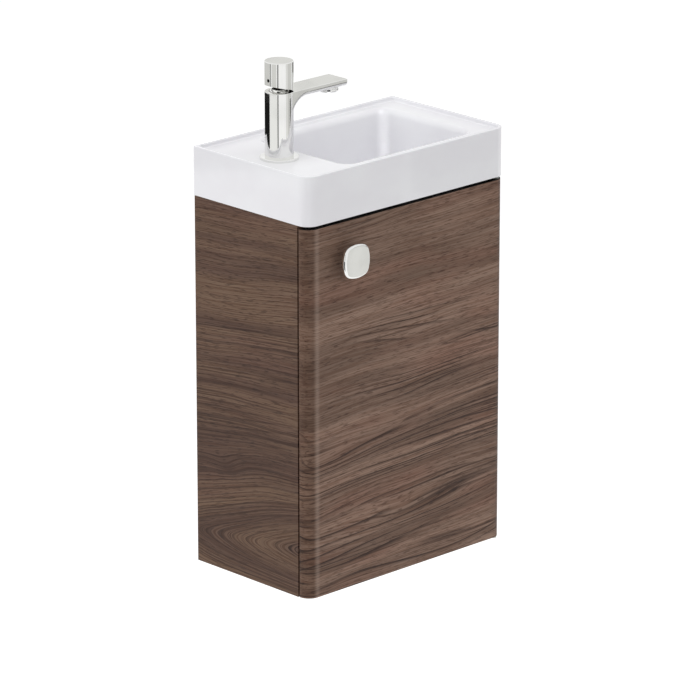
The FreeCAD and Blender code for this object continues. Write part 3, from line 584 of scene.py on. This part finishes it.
@dataclass(frozen=True)
class TurnedBeech:
    """Beech dowels, turned and fluted: pale fine lines along the dowel with short brown flecks."""

    name: str = "turned_beech"
    pale: str = "#d9b88e"
    deep: str = "#c39d6e"
    fleck: str = "#8f6540"
    line_mm: Triple = (40, 1.6, 1.6)
    fleck_mm: Triple = (3.0, 0.7, 0.7)
    line_depth_mm: float = 0.1

    def material(self) -> bpy.types.Material:
        """Makes the beech.

        Returns:
            The finished material.
        """
        surface = Surface(self.name)
        lines = surface.mottle(surface.place, self.line_mm)
        flecks = surface.mottle(surface.place, self.fleck_mm, detail=1.0)
        colour = surface.shade(lines, 0.35, 0.65, self.pale, self.deep)
        brown = surface.add(Step.RAMP, flecks, 0.6, 0.7, 0.0, 0.6)
        colour = surface.add(Step.MIX, brown, colour, linear(self.fleck))
        roughness = surface.add(Step.RAMP, lines, 0.3, 0.7, 0.5, 0.65)
        return surface.finish(lines, self.line_depth_mm, Base_Color=colour, Roughness=roughness, IOR=1.5)


Finish = Union[WalnutDecor, Marked, PlatedMoulding, GlazedCeramic, TurnedBeech]
Finishes = dict[Finish, tuple[str, ...]]

# Plated and polished: near-mirror reflections with faint smears, and hardly a colour of its own.
CHROME = Metal("polished_chrome_plate", "#ebebe9", "#e3e3e1", smooth=0.03, dull=0.09,
               mark_mm=(30.0, 30.0, 6.0), mark_depth_mm=0.002, cloud_mm=(45.0,) * 3)
# Rolled, pressed and zinc plated: a soft grey shine with rolling lines and faint yellowish clouds.
ZINC_STEEL = Metal("bright_zinc_plated_steel", "#bcc1c6", "#a9a99b", smooth=0.24, dull=0.42,
                   mark_mm=(9.0, 0.8, 9.0), mark_depth_mm=0.02, cloud_mm=(12.0,) * 3)
# Turned and left bare: a warm yellow shine that the tool's fine rings break up.
BRASS = Metal("turned_brass", "#cfa95c", "#b48d45", smooth=0.18, dull=0.34,
              mark_mm=(12.0, 12.0, 0.7), mark_depth_mm=0.02, cloud_mm=(16.0,) * 3)
# Blackened in oil: nearly black, with a dull gleam along its edges.
BLACK_STEEL = Metal("blackened_steel", "#34363a", "#232427", smooth=0.30, dull=0.46,
                    mark_mm=(2.0, 0.6, 0.6), mark_depth_mm=0.01, cloud_mm=(6.0,) * 3)
# Moulded: milky white with a soft even sheen.
NYLON = Moulding("moulded_white_nylon", "#e6e5df", "#dcdad2", smooth=0.36, dull=0.52,
                 mark_mm=(0.8,) * 3, mark_depth_mm=0.02)
# Moulded: a dark grey plastic, made near-black so that it also paints the shade deep in the aerator's cells.
DARK_ABS = Moulding("moulded_dark_grey_abs", "#1d1e1f", "#151617", smooth=0.38, dull=0.55,
                    mark_mm=(0.9,) * 3, mark_depth_mm=0.03)
# Vulcanised in a rough mould: a dull black that hardly reflects.
RUBBER = Moulding("moulded_black_rubber", "#1d1d1e", "#2b2a29", smooth=0.62, dull=0.85,
                  mark_mm=(1.1,) * 3, mark_depth_mm=0.05)
# Fired and ground flat: warm white with a low shine.
ALUMINA = Sintered("ground_alumina", "#efece4", "#dfdbd0", smooth=0.176, dull=0.264,
                   mark_mm=(1.2,) * 3, mark_depth_mm=0.01, cloud_mm=(1.2,) * 3)
# Pressed and fired: grainy charcoal grey.
FERRITE = Sintered("sintered_ferrite", "#3a3a3c", "#555557", smooth=0.4, dull=0.6,
                   mark_mm=(1.4,) * 3, mark_depth_mm=0.01, cloud_mm=(1.4,) * 3)
# What these three give the eye is said in their classes.
BLACK_ACETAL, GLAZE, BEECH = PlatedMoulding(), GlazedCeramic(), TurnedBeech()


@cache
def material_of(finish: Finish) -> bpy.types.Material:
    """Makes a finish's material, once."""
    return finish.material()


class RepeatTree(Tree):
    """A Geometry Nodes tree with named inputs, which is turned into one plain mesh."""

    def __init__(self, name: str, finish: Finish) -> None:
        """Starts an empty tree.

        Args:
            name: the piece's name.
            finish: what the piece is made of.
        """
        super().__init__(bpy.data.node_groups.new(name, "GeometryNodeTree"))
        self.name = name
        self.finish = finish
        self.tree.interface.new_socket("Geometry", in_out="OUTPUT", socket_type="NodeSocketGeometry")
        self.given = self.add("NodeGroupInput")
        self.values: dict[str, Any] = {}

    def size(self, name: str, value: Union[int, float]) -> bpy.types.NodeSocket:
        """Adds a named input.

        Args:
            name: the input's name.
            value: a count, or a length in metres.
        Returns:
            The socket that gives the value inside the tree.
        """
        kind = "NodeSocketInt" if isinstance(value, int) else "NodeSocketFloat"
        socket = self.tree.interface.new_socket(name, in_out="INPUT", socket_type=kind)
        self.values[socket.identifier] = value
        return self.given.outputs[name]

    def wall(self, line: Link, width: Any, height: Any, capped: bool = False) -> Node:
        """Raises a wall along a curve.

        Args:
            line: the curve.
            width: the wall's width.
            height: its height.
            capped: whether its ends are filled.
        Returns:
            The wall.
        """
        section = self.add("GeometryNodeCurvePrimitiveQuadrilateral", {"Width": width, "Height": height})
        return self.add("GeometryNodeCurveToMesh", {
            "Curve": line, "Profile Curve": section, "Fill Caps": capped})

    def bake(self, shape: Link, body: str, slot: str, replaced: tuple[str, ...] = ()) -> bpy.types.Object:
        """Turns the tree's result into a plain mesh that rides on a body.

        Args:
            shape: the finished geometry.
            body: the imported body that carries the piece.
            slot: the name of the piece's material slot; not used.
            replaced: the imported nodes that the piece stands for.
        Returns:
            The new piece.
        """
        material = material_of(self.finish)
        real = self.add("GeometryNodeRealizeInstances", {"Geometry": shape})
        dressed = self.add("GeometryNodeSetMaterial", {"Geometry": real, "Material": material})
        self.add("NodeGroupOutput", {0: dressed})
        piece = bpy.data.objects.new(self.name, bpy.data.meshes.new(self.name))
        bpy.context.scene.collection.objects.link(piece)
        modifier = piece.modifiers.new("repeat", "NODES")
        modifier.node_group = self.tree
        for identifier, value in self.values.items():
            modifier[identifier] = value
        bpy.context.view_layer.update()
        mesh = bpy.data.meshes.new_from_object(piece.evaluated_get(bpy.context.evaluated_depsgraph_get()))
        piece.modifiers.remove(modifier)
        piece.data = mesh
        mesh.name = self.name
        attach(piece, body)
        if replaced:
            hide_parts(*replaced)
        LOG.info("made %s, %d faces", self.name, len(mesh.polygons))
        return piece


class Assembly:
    """Pieces that are fitted and dressed together."""

    def finishes(self) -> Finishes:
        """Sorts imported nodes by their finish."""
        return {}

    def build(self) -> None:
        """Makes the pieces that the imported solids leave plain."""

    def dress(self) -> None:
        """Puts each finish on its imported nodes."""
        for finish, nodes in self.finishes().items():
            for node in nodes:
                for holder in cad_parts[node].material_slots:
                    holder.material = material_of(finish)
                LOG.info("dressed %s in %s", node, finish.name)


@dataclass
class Cabinet(Assembly):
    """The carcass with its shelf, hinges and catch."""

    # The carcass decor is a darker copy of the door's. This is painted shade that makes the side panels read
    # darker than the lit front, and the rails, bottom and shelf take the same tones.
    shaded_side_pale: str = "#745c4a"
    shaded_side_deep: str = "#5a4337"
    shaded_side_ruddy: str = "#6d5245"
    side_rise: float = 0.10
    side_ink: float = 0.68
    side_growth_mm: float = 9.0

    def finishes(self) -> Finishes:
        """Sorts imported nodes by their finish.

        Returns:
            The nodes of each finish.
        """
        # The darker tones, as painted shade, for all carcass boards.
        shaded_tones = dict(pale=self.shaded_side_pale, deep=self.shaded_side_deep, ruddy=self.shaded_side_ruddy)
        side = dict(lie=Lie.SIDE, rise=self.side_rise, ink=self.side_ink, growth_mm=self.side_growth_mm,
                    streak_top_mm=0, raw_back=True, **shaded_tones)
        arch = GrainArch(across=-234, half_height=80, slope=0.33, tip=7)
        dark_eye = GrainEye(along=-63, across=-121, half_length=30, half_height=14, lift=9, heart=0.5)
        figure = GrainEye(along=-150, across=-120, half_length=70, half_height=45, lift=-10)
        return {
            WalnutDecor("walnut_foil_left_side", eyes=(dark_eye, figure), arch=arch, **side): (
                "left_side_panel",),
            WalnutDecor("walnut_foil_right_side", start_mm=(310, 0, 140), **side): ("right_side_panel",),
            WalnutDecor("walnut_foil_rails", Lie.FRONT, start_mm=(0, 0, 630), **shaded_tones): (
                "upper_rear_rail", "lower_rear_rail"),
            WalnutDecor("walnut_foil_flat", Lie.FLAT, start_mm=(200, 0, 75), **shaded_tones): (
                "bottom_panel", "shelf"),
            BEECH: ("dowels",),
            ZINC_STEEL: ("shelf_pins", "upper_hinge_plate", "lower_hinge_plate", "hinge_pins", "hinge_screws",
                         "catch_screws"),
            DARK_ABS: ("catch_housing",),
            FERRITE: ("catch_magnet",),
            RUBBER: ("door_buffers",),
        }


@dataclass
class Door(Assembly):
    """The door with its knob, bushes and strike."""

    flat_half_width_mm: float = 182.0

    def finishes(self) -> Finishes:
        """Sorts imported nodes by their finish.

        Returns:
            The nodes of each finish.
        """
        eyes = (GrainEye(along=-145, across=-81, half_length=110, half_height=18, lift=13),
                GrainEye(along=60, across=-201, half_length=150, half_height=26, lift=18))
        front = WalnutDecor("walnut_foil_door", Lie.FRONT, start_mm=(40, 0, 0), eyes=eyes,
                            bend_at_mm=self.flat_half_width_mm)
        return {front: ("door",), CHROME: ("door_knob",), NYLON: ("hinge_bushes",),
                ZINC_STEEL: ("knob_screw", "strike_plate", "strike_screw")}


@dataclass
class Basin(Assembly):
    """The washbasin."""

    def finishes(self) -> Finishes:
        """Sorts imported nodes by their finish."""
        return {GLAZE: ("basin",)}


TURN_POINTS = 40
RIDGE_SIDES = 6


def helix(tree: RepeatTree, core: float, ridge: float, height: float, pitch: float) -> Node:
    """Adds a screw thread, a rounded ridge wound on a core.

    Args:
        tree: the tree that gets the thread.
        core: the radius of the ridge's middle line.
        ridge: half the ridge's width.
        height: the threaded length.
        pitch: the rise of one turn.
    Returns:
        The thread, standing on the origin.
    """
    line = tree.add("GeometryNodeCurveSpiral", {
        "Resolution": tree.size("Points per turn", TURN_POINTS),
        "Rotations": tree.size("Turns", height / pitch),
        "Start Radius": tree.size("Thread radius", core), "End Radius": tree.given.outputs["Thread radius"],
        "Height": tree.size("Thread length", height)})
    section = tree.add("GeometryNodeCurvePrimitiveCircle", {
        "Resolution": RIDGE_SIDES, "Radius": tree.size("Ridge", ridge)})
    swept = tree.add("GeometryNodeCurveToMesh", {
        "Curve": line, "Profile Curve": section.outputs[0], "Fill Caps": True})
    return tree.add("GeometryNodeSetShadeSmooth", {"Geometry": swept})


@dataclass
class Tap(Assembly):
    """The mixer tap with its fixing under the deck. Notches have their sweep and bearing in degrees."""

    thread_pitch: float = 1.25 * MM
    thread_ridge: float = 0.525 * MM
    ridge_sunk: float = 0.98
    cell_pitch: float = 2.5 * MM
    cell_wall: float = 0.35 * MM
    rim_wall: float = 1.1 * MM
    ring_wall: float = 2.5 * MM
    notch_count: int = 6
    notch_depth: float = 3.8 * MM
    notch_sweep: float = 17.0
    notch_bearing: float = 230.0
    rim_points: int = 72
    band_points: int = 180
    tooth_points: int = 24

    def finishes(self) -> Finishes:
        """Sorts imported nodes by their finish.

        Returns:
            The nodes of each finish.
        """
        return {
            CHROME: ("tap_body", "tap_base_ring", "tap_handle", "aerator_ring"),
            BLACK_ACETAL: ("cartridge_carrier",),
            NYLON: ("cartridge_sleeve",),
            DARK_ABS: ("aerator_insert",),
            ALUMINA: ("fixed_ceramic_disc", "moving_ceramic_disc"),
            RUBBER: ("tap_base_gasket", "tap_clamp_gasket"),
            ZINC_STEEL: ("tap_clamp_plate", "tap_fixing_stud"),
            BRASS: ("tap_clamp_nut", "handle_stem", "handle_cross_pin"),
            BLACK_STEEL: ("handle_grub_screw",),
        }

    def build(self) -> None:
        """Makes the threaded stud, and the aerator's honeycomb and notched ring."""
        self.build_stud()
        self.build_honeycomb()
        self.build_key_ring()

    def build_stud(self) -> None:
        """Makes the fixing stud with its thread."""
        low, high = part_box("tap_fixing_stud")
        middle = (low + high) / 2
        outer = (high.x - low.x) / 2
        ridge = self.thread_ridge
        core = outer - ridge
        tree = RepeatTree("stud_thread", ZINC_STEEL)
        thread_length = high.z - low.z - 2 * ridge
        thread = helix(tree, core, ridge * self.ridge_sunk, thread_length, self.thread_pitch)
        raised = tree.add("GeometryNodeTransform", {
            "Geometry": thread, "Translation": (middle.x, middle.y, low.z + ridge)})
        bar = tree.add("GeometryNodeMeshCylinder", {
            "Vertices": TURN_POINTS, "Radius": tree.size("Core", core),
            "Depth": tree.size("Length", high.z - low.z)}, fill_type="NGON")
        smooth = tree.add("GeometryNodeSetShadeSmooth", {"Geometry": bar, "Selection": bar.outputs["Side"]})
        placed = tree.add("GeometryNodeTransform", {"Geometry": smooth, "Translation": tuple(middle)})
        stud = tree.add("GeometryNodeJoinGeometry", {0: [raised, placed]})
        tree.bake(stud, "cabinet", "zinc_steel", ("tap_fixing_stud",))

    def build_honeycomb(self) -> None:
        """Makes the aerator's insert, a rim filled with six-sided cells."""
        low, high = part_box("aerator_insert")
        middle = (low + high) / 2
        depth = high.z - low.z
        outer = (high.x - low.x) / 2
        tree = RepeatTree("aerator_honeycomb", DARK_ABS)
        pitch = tree.size("Cell pitch", self.cell_pitch)
        height = tree.size("Depth", depth)
        row_step = self.cell_pitch * math.sqrt(3)
        count = 2 * int(outer / self.cell_pitch) + 3
        rows = 2 * int(outer / row_step) + 3
        grids = []
        for shift in (0.0, 0.5):
            grid = tree.add("GeometryNodeMeshGrid", {
                "Size X": (count - 1) * self.cell_pitch, "Size Y": (rows - 1) * row_step,
                "Vertices X": count, "Vertices Y": rows})
            grids.append(tree.add("GeometryNodeTransform", {
                "Geometry": grid, "Translation": (shift * self.cell_pitch, shift * row_step, 0.0)}))
        where = tree.add("GeometryNodeInputPosition")
        reach = tree.add("ShaderNodeVectorMath", {0: where}, operation="LENGTH")
        outside = tree.add("FunctionNodeCompare", {
            "A": reach.outputs["Value"], "B": tree.size("Cells reach", outer - self.rim_wall)},
            operation="GREATER_THAN")
        field = tree.add("GeometryNodeJoinGeometry", {0: grids})
        places = tree.add("GeometryNodeDeleteGeometry", {"Geometry": field, "Selection": outside})
        cell_radius = tree.add("ShaderNodeMath", {0: pitch, 1: 1 / math.sqrt(3)}, operation="MULTIPLY")
        corner_line = tree.add("GeometryNodeCurvePrimitiveCircle", {"Resolution": 6, "Radius": cell_radius})
        cell = tree.wall(corner_line, tree.size("Cell wall", self.cell_wall), height)
        turned = tree.add("GeometryNodeTransform", {"Geometry": cell, "Rotation": (0.0, 0.0, math.pi / 6)})
        cells = tree.add("GeometryNodeInstanceOnPoints", {"Points": places, "Instance": turned})
        rim_line = tree.add("GeometryNodeCurvePrimitiveCircle", {
            "Resolution": self.rim_points, "Radius": tree.size("Rim radius", outer - self.rim_wall / 2)})
        rim = tree.wall(rim_line, tree.size("Rim wall", self.rim_wall), height)
        whole = tree.add("GeometryNodeJoinGeometry", {0: [cells, rim]})
        placed = tree.add("GeometryNodeTransform", {"Geometry": whole, "Translation": tuple(middle)})
        tree.bake(placed, "cabinet", "grey_plastic", ("aerator_insert",))

    def build_key_ring(self) -> None:
        """Makes the aerator's ring, a plain band over teeth with notches between them for a key."""
        low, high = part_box("aerator_ring")
        middle = (low + high) / 2
        tree = RepeatTree("aerator_key_ring", CHROME)
        wall = tree.size("Ring wall", self.ring_wall)
        radius = tree.size("Ring radius", (high.x - low.x - self.ring_wall) / 2)
        notch_depth = tree.size("Notch depth", self.notch_depth)
        count = tree.size("Notches", self.notch_count)
        step = math.tau / self.notch_count
        band_height = high.z - low.z - self.notch_depth
        band_line = tree.add("GeometryNodeCurvePrimitiveCircle", {
            "Resolution": self.band_points, "Radius": radius})
        band = tree.wall(band_line, wall, tree.size("Band height", band_height))
        raised = tree.add("GeometryNodeTransform", {
            "Geometry": band, "Translation": (middle.x, middle.y, high.z - band_height / 2)})
        tooth_line = tree.add("GeometryNodeCurveArc", {
            "Resolution": self.tooth_points, "Radius": radius,
            "Start Angle": math.radians(self.notch_bearing + self.notch_sweep / 2),
            "Sweep Angle": tree.size("Tooth sweep", step - math.radians(self.notch_sweep))})
        tooth = tree.wall(tooth_line, wall, notch_depth, capped=True)
        starts = tree.add("GeometryNodePoints", {"Count": count})
        index = tree.add("GeometryNodeInputIndex")
        turn = tree.add("ShaderNodeMath", {0: index, 1: step}, operation="MULTIPLY")
        spin = tree.add("ShaderNodeCombineXYZ", {"Z": turn})
        teeth = tree.add("GeometryNodeInstanceOnPoints", {
            "Points": starts, "Instance": tooth, "Rotation": spin})
        hung = tree.add("GeometryNodeTransform", {
            "Geometry": teeth, "Translation": (middle.x, middle.y, low.z + self.notch_depth / 2)})
        ring = tree.add("GeometryNodeJoinGeometry", {0: [raised, hung]})
        tree.bake(ring, "cabinet", "chrome", ("aerator_ring",))


@dataclass
class Waste(Assembly):
    """The grid waste with its seals and backnut."""

    thread_pitch: float = 2.31 * MM
    thread_ridge: float = 0.924 * MM
    thread_stands: float = 0.35 * MM
    thread_gap: float = 0.6 * MM
    tube_radius: float = 21.0 * MM

    def finishes(self) -> Finishes:
        """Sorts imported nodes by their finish."""
        return {CHROME: ("waste_grid",), RUBBER: ("waste_upper_seal", "waste_lower_seal"),
                BRASS: ("waste_backnut",)}

    def build(self) -> None:
        """Makes the tail's thread, between the trap's nut and the backnut."""
        nut_low, nut_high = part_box("trap_inlet_nut")
        back_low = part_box("waste_backnut")[0]
        middle = (nut_low + nut_high) / 2
        ridge = self.thread_ridge
        start = nut_high.z + self.thread_gap + ridge
        end = back_low.z - self.thread_gap - ridge
        tree = RepeatTree("waste_tail_thread", CHROME)
        core = self.tube_radius + self.thread_stands - ridge
        thread = helix(tree, core, ridge, end - start, self.thread_pitch)
        placed = tree.add("GeometryNodeTransform", {
            "Geometry": thread, "Translation": (middle.x, middle.y, start)})
        tree.bake(placed, "cabinet", "chrome")


@dataclass
class Trap(Assembly):
    """The bottle trap with its two nuts, pipes and wall rosette."""

    rib_count: int = 36
    rib_radius: float = 1.2 * MM
    rib_margin: float = 3.0 * MM
    rib_sides: int = 12

    def finishes(self) -> Finishes:
        """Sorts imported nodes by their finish."""
        return {CHROME: ("trap_inlet_nut", "trap_inlet_pipe", "trap_body", "trap_cup", "trap_outlet_nut",
                         "trap_outlet_pipe", "wall_rosette")}

    def build(self) -> None:
        """Makes the grip ribs of both nuts."""
        self.build_ribs("trap_inlet_nut", "inlet_nut_ribs", (0.0, 0.0, 0.0))
        self.build_ribs("trap_outlet_nut", "outlet_nut_ribs", (math.pi / 2, 0.0, 0.0))

    def build_ribs(self, nut: str, name: str, turn: Triple) -> None:
        """Sets half-round ribs round a nut.

        Args:
            nut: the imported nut.
            name: the new piece's name.
            turn: the rotation that takes the Z axis to the nut's own axis.
        """
        low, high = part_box(nut)
        size = high - low
        length = size.y if turn[0] else size.z
        tree = RepeatTree(name, CHROME)
        ring = tree.add("GeometryNodeMeshCircle", {
            "Vertices": tree.size("Ribs", self.rib_count), "Radius": tree.size("Nut radius", size.x / 2)})
        rib = tree.add("GeometryNodeMeshCylinder", {
            "Vertices": self.rib_sides, "Radius": tree.size("Rib radius", self.rib_radius),
            "Depth": tree.size("Rib length", length - 2 * self.rib_margin)}, fill_type="NGON")
        smooth = tree.add("GeometryNodeSetShadeSmooth", {"Geometry": rib, "Selection": rib.outputs["Side"]})
        ribs = tree.add("GeometryNodeInstanceOnPoints", {"Points": ring, "Instance": smooth})
        placed = tree.add("GeometryNodeTransform", {
            "Geometry": ribs, "Translation": tuple((low + high) / 2), "Rotation": turn})
        tree.bake(placed, "cabinet", "chrome")


@dataclass(frozen=True)
class Lamp:
    """A square or oblong lamp that points at a spot. Its spread is in degrees, and a small one is a beam."""

    name: str
    place: Triple
    width: float
    height: float
    watts: float
    spot: Triple = (0.0, -0.12, 0.1)
    spread: float = 180.0


@dataclass(frozen=True)
class Flag:
    """A curved card round the tap that only reflections show. Bearings are in degrees from +X towards +Y."""

    name: str
    tone: str
    bearings: Pair
    heights: Pair


@dataclass
class Studio:
    """The floor, lamps, flags and camera. The camera's turn is in degrees."""

    floor_drop: float = 0.45
    floor_side: float = 14.0
    world_level: float = 0.60
    floor_glow: float = 0.48
    floor_tones: tuple[str, str] = ("#f4f4f4", "#f1f1f1")
    floor_tone_mm: Triple = (600, 600, 600)
    lens_mm: float = 257.1
    camera_place: Triple = (-4.8637, -5.1603, 2.2997)
    camera_turn: Triple = (72.01, 0.0, -43.96)
    flag_radius: float = 0.5
    flag_steps: int = 24
    lamps: tuple[Lamp, ...] = (
        Lamp("overhead_softbox", (0.0, -0.3, 2.3), width=1.6, height=1.6, watts=13.5),
        Lamp("left_softbox", (-2.6, 0.55, 0.8), width=1.4, height=1.4, watts=17.0),
        Lamp("front_fill", (1.2, -3.2, 0.6), width=1.6, height=1.6, watts=8.0),
        # This one draws the bright upright band in the bowl.
        Lamp("bowl_beam", (-0.10, -0.296, 0.475), width=0.016, height=0.068, watts=0.0006,
             spot=(0.1495, -0.0335, 0.308), spread=2.0),
    )
    flags: tuple[Flag, ...] = (
        Flag("black_flag", "#1c1c1c", (70.0, 149.0), (0.209, 0.3165)),
        Flag("left_grey_card", "#d8d8d5", (70.0, 150.0), (0.3165, 0.375)),
        Flag("left_dark_strip", "#a8a8a6", (151.0, 164.0), (0.3165, 0.375)),
        Flag("left_pale_card", "#dfdfdc", (170.0, 207.0), (0.3165, 0.375)),
        Flag("left_white_card", "#f8f8f6", (152.0, 213.0), (0.165, 0.3165)),
        Flag("middle_dark_strip", "#838382", (213.5, 223.0), (0.10, 0.375)),
        Flag("right_pale_card", "#ececea", (281.0, 298.0), (0.18, 0.38)),
        Flag("right_grey_card", "#d6d6d3", (298.0, 316.0), (0.18, 0.38)),
        Flag("right_upper_grey_card", "#d6d6d3", (316.0, 338.0), (0.31, 0.38)),
        Flag("spout_dark_strip", "#80807e", (317.0, 336.0), (0.20, 0.308)),
        Flag("knob_card", "#e9e9e6", (290.0, 338.0), (0.0, 0.18)),
        Flag("knob_black_card", "#101010", (182.0, 228.0), (-0.10, 0.163)),
        Flag("right_dark_strip", "#9a9a98", (347.0, 400.0), (0.3165, 0.375)),
        Flag("high_grey_card", "#e6e6e3", (30.0, 65.0), (0.55, 0.66)),
    )

    def set_up(self) -> None:
        """Puts up everything round the object."""
        bpy.context.scene.view_settings.view_transform = "Standard"
        self.light_world()
        self.lay_floor()
        for lamp in self.lamps:
            self.hang(lamp)
        for flag in self.flags:
            self.stand(flag)
        self.place_camera()

    def shown(self, tree: Tree) -> Node:
        """Finds the rays that show the background: to the camera, by reflection or through glass.

        Args:
            tree: the tree that asks.
        Returns:
            1 on those rays, and 0 on others.
        """
        path = tree.add("ShaderNodeLightPath")
        either = path.outputs["Is Camera Ray"]
        for ray in ("Is Glossy Ray", "Is Transmission Ray"):
            either = tree.add(Step.MAXIMUM, either, path.outputs[ray])
        return either

    def light_world(self) -> None:
        """Makes a world that lights softly and shows white."""
        world = bpy.data.worlds.new("white_studio")
        world.use_nodes = True
        bpy.context.scene.world = world
        tree = Tree(world.node_tree)
        level = tree.add("ShaderNodeMapRange", {
            "Value": self.shown(tree), "To Min": self.world_level, "To Max": 1.0})
        background = world.node_tree.nodes["Background"]
        tree.plug(background.inputs["Color"], linear("#ffffff"))
        tree.plug(background.inputs["Strength"], level)

    def lay_floor(self) -> None:
        """Lays a plain pale floor well below the hung unit."""
        surface = Surface("pale_floor_paint")
        tone = surface.mottle(surface.place, self.floor_tone_mm, detail=3.0)
        colour = surface.shade(tone, 0.35, 0.65, *self.floor_tones)
        glow = surface.add(Step.MULTIPLY, self.shown(surface), self.floor_glow)
        material = surface.finish(Base_Color=colour, Roughness=0.9, Specular_Level=0.1,
                                  Emission_Color=linear("#ffffff"), Emission_Strength=glow)
        half = self.floor_side / 2
        level = CAD_BOX[0][2] - self.floor_drop
        corners = [(x * half, y * half, level) for x, y in ((-1, -1), (1, -1), (1, 1), (-1, 1))]
        self.raise_card("studio_floor", corners, [(0, 1, 2, 3)], material)

    def raise_card(self, name: str, points: list[Triple], faces: list[tuple[int, ...]],
                   material: bpy.types.Material) -> bpy.types.Object:
        """Makes a stage mesh.

        Args:
            name: the card's name.
            points: its corners.
            faces: the corners of each face.
            material: what it is made of.
        Returns:
            The new object.
        """
        mesh = bpy.data.meshes.new(name)
        mesh.from_pydata(points, [], faces)
        mesh.materials.append(material)
        card = bpy.data.objects.new(name, mesh)
        bpy.context.scene.collection.objects.link(card)
        LOG.info("set up %s", name)
        return card

    def stand(self, flag: Flag) -> None:
        """Stands a curved flag round the tap, seen by reflections alone.

        Args:
            flag: the flag's tone and reach.
        """
        low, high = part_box("tap_handle")
        middle = (low + high) / 2
        start, end = (math.radians(b) for b in flag.bearings)
        points = []
        for step in range(self.flag_steps + 1):
            bearing = start + (end - start) * step / self.flag_steps
            out = Vector((math.cos(bearing), math.sin(bearing))) * self.flag_radius
            points += [(middle.x + out.x, middle.y + out.y, height) for height in flag.heights]
        faces = [(2 * s, 2 * s + 1, 2 * s + 3, 2 * s + 2) for s in range(self.flag_steps)]
        material = Surface(flag.name).finish(Base_Color=linear("#000000"), Specular_Level=0.0,
                                             Emission_Color=linear(flag.tone), Emission_Strength=1.0)
        card = self.raise_card(flag.name, points, faces, material)
        for ray in ("camera", "diffuse", "shadow", "transmission"):
            setattr(card, f"visible_{ray}", False)

    def hang(self, lamp: Lamp) -> None:
        """Hangs a lamp that neither the camera nor reflections show.

        Args:
            lamp: the lamp's place, size and power.
        """
        light = bpy.data.lights.new(lamp.name, "AREA")
        light.shape = "RECTANGLE"
        light.size, light.size_y = lamp.width, lamp.height
        light.spread = math.radians(lamp.spread)
        light.energy = lamp.watts
        holder = bpy.data.objects.new(lamp.name, light)
        holder.location = lamp.place
        holder.rotation_euler = (Vector(lamp.spot) - Vector(lamp.place)).to_track_quat("-Z", "Y").to_euler()
        holder.visible_camera = False
        holder.visible_glossy = False
        bpy.context.scene.collection.objects.link(holder)
        LOG.info("hung %s", lamp.name)

    def place_camera(self) -> None:
        """Puts the camera at the photograph's viewing angle."""
        lens = bpy.data.cameras.new("photo_camera")
        lens.lens = self.lens_mm
        camera = bpy.data.objects.new("photo_camera", lens)
        camera.location = self.camera_place
        camera.rotation_euler = tuple(math.radians(angle) for angle in self.camera_turn)
        bpy.context.scene.collection.objects.link(camera)
        bpy.context.scene.camera = camera


def main() -> None:
    """Builds and dresses the unit, then sets up the studio."""
    logging.basicConfig(level=logging.INFO, format="%(message)s")
    for assembly in (Cabinet(), Door(), Basin(), Tap(), Waste(), Trap()):
        assembly.build()
        assembly.dress()
    Studio().set_up()


if __name__ == "__main__":
    main()
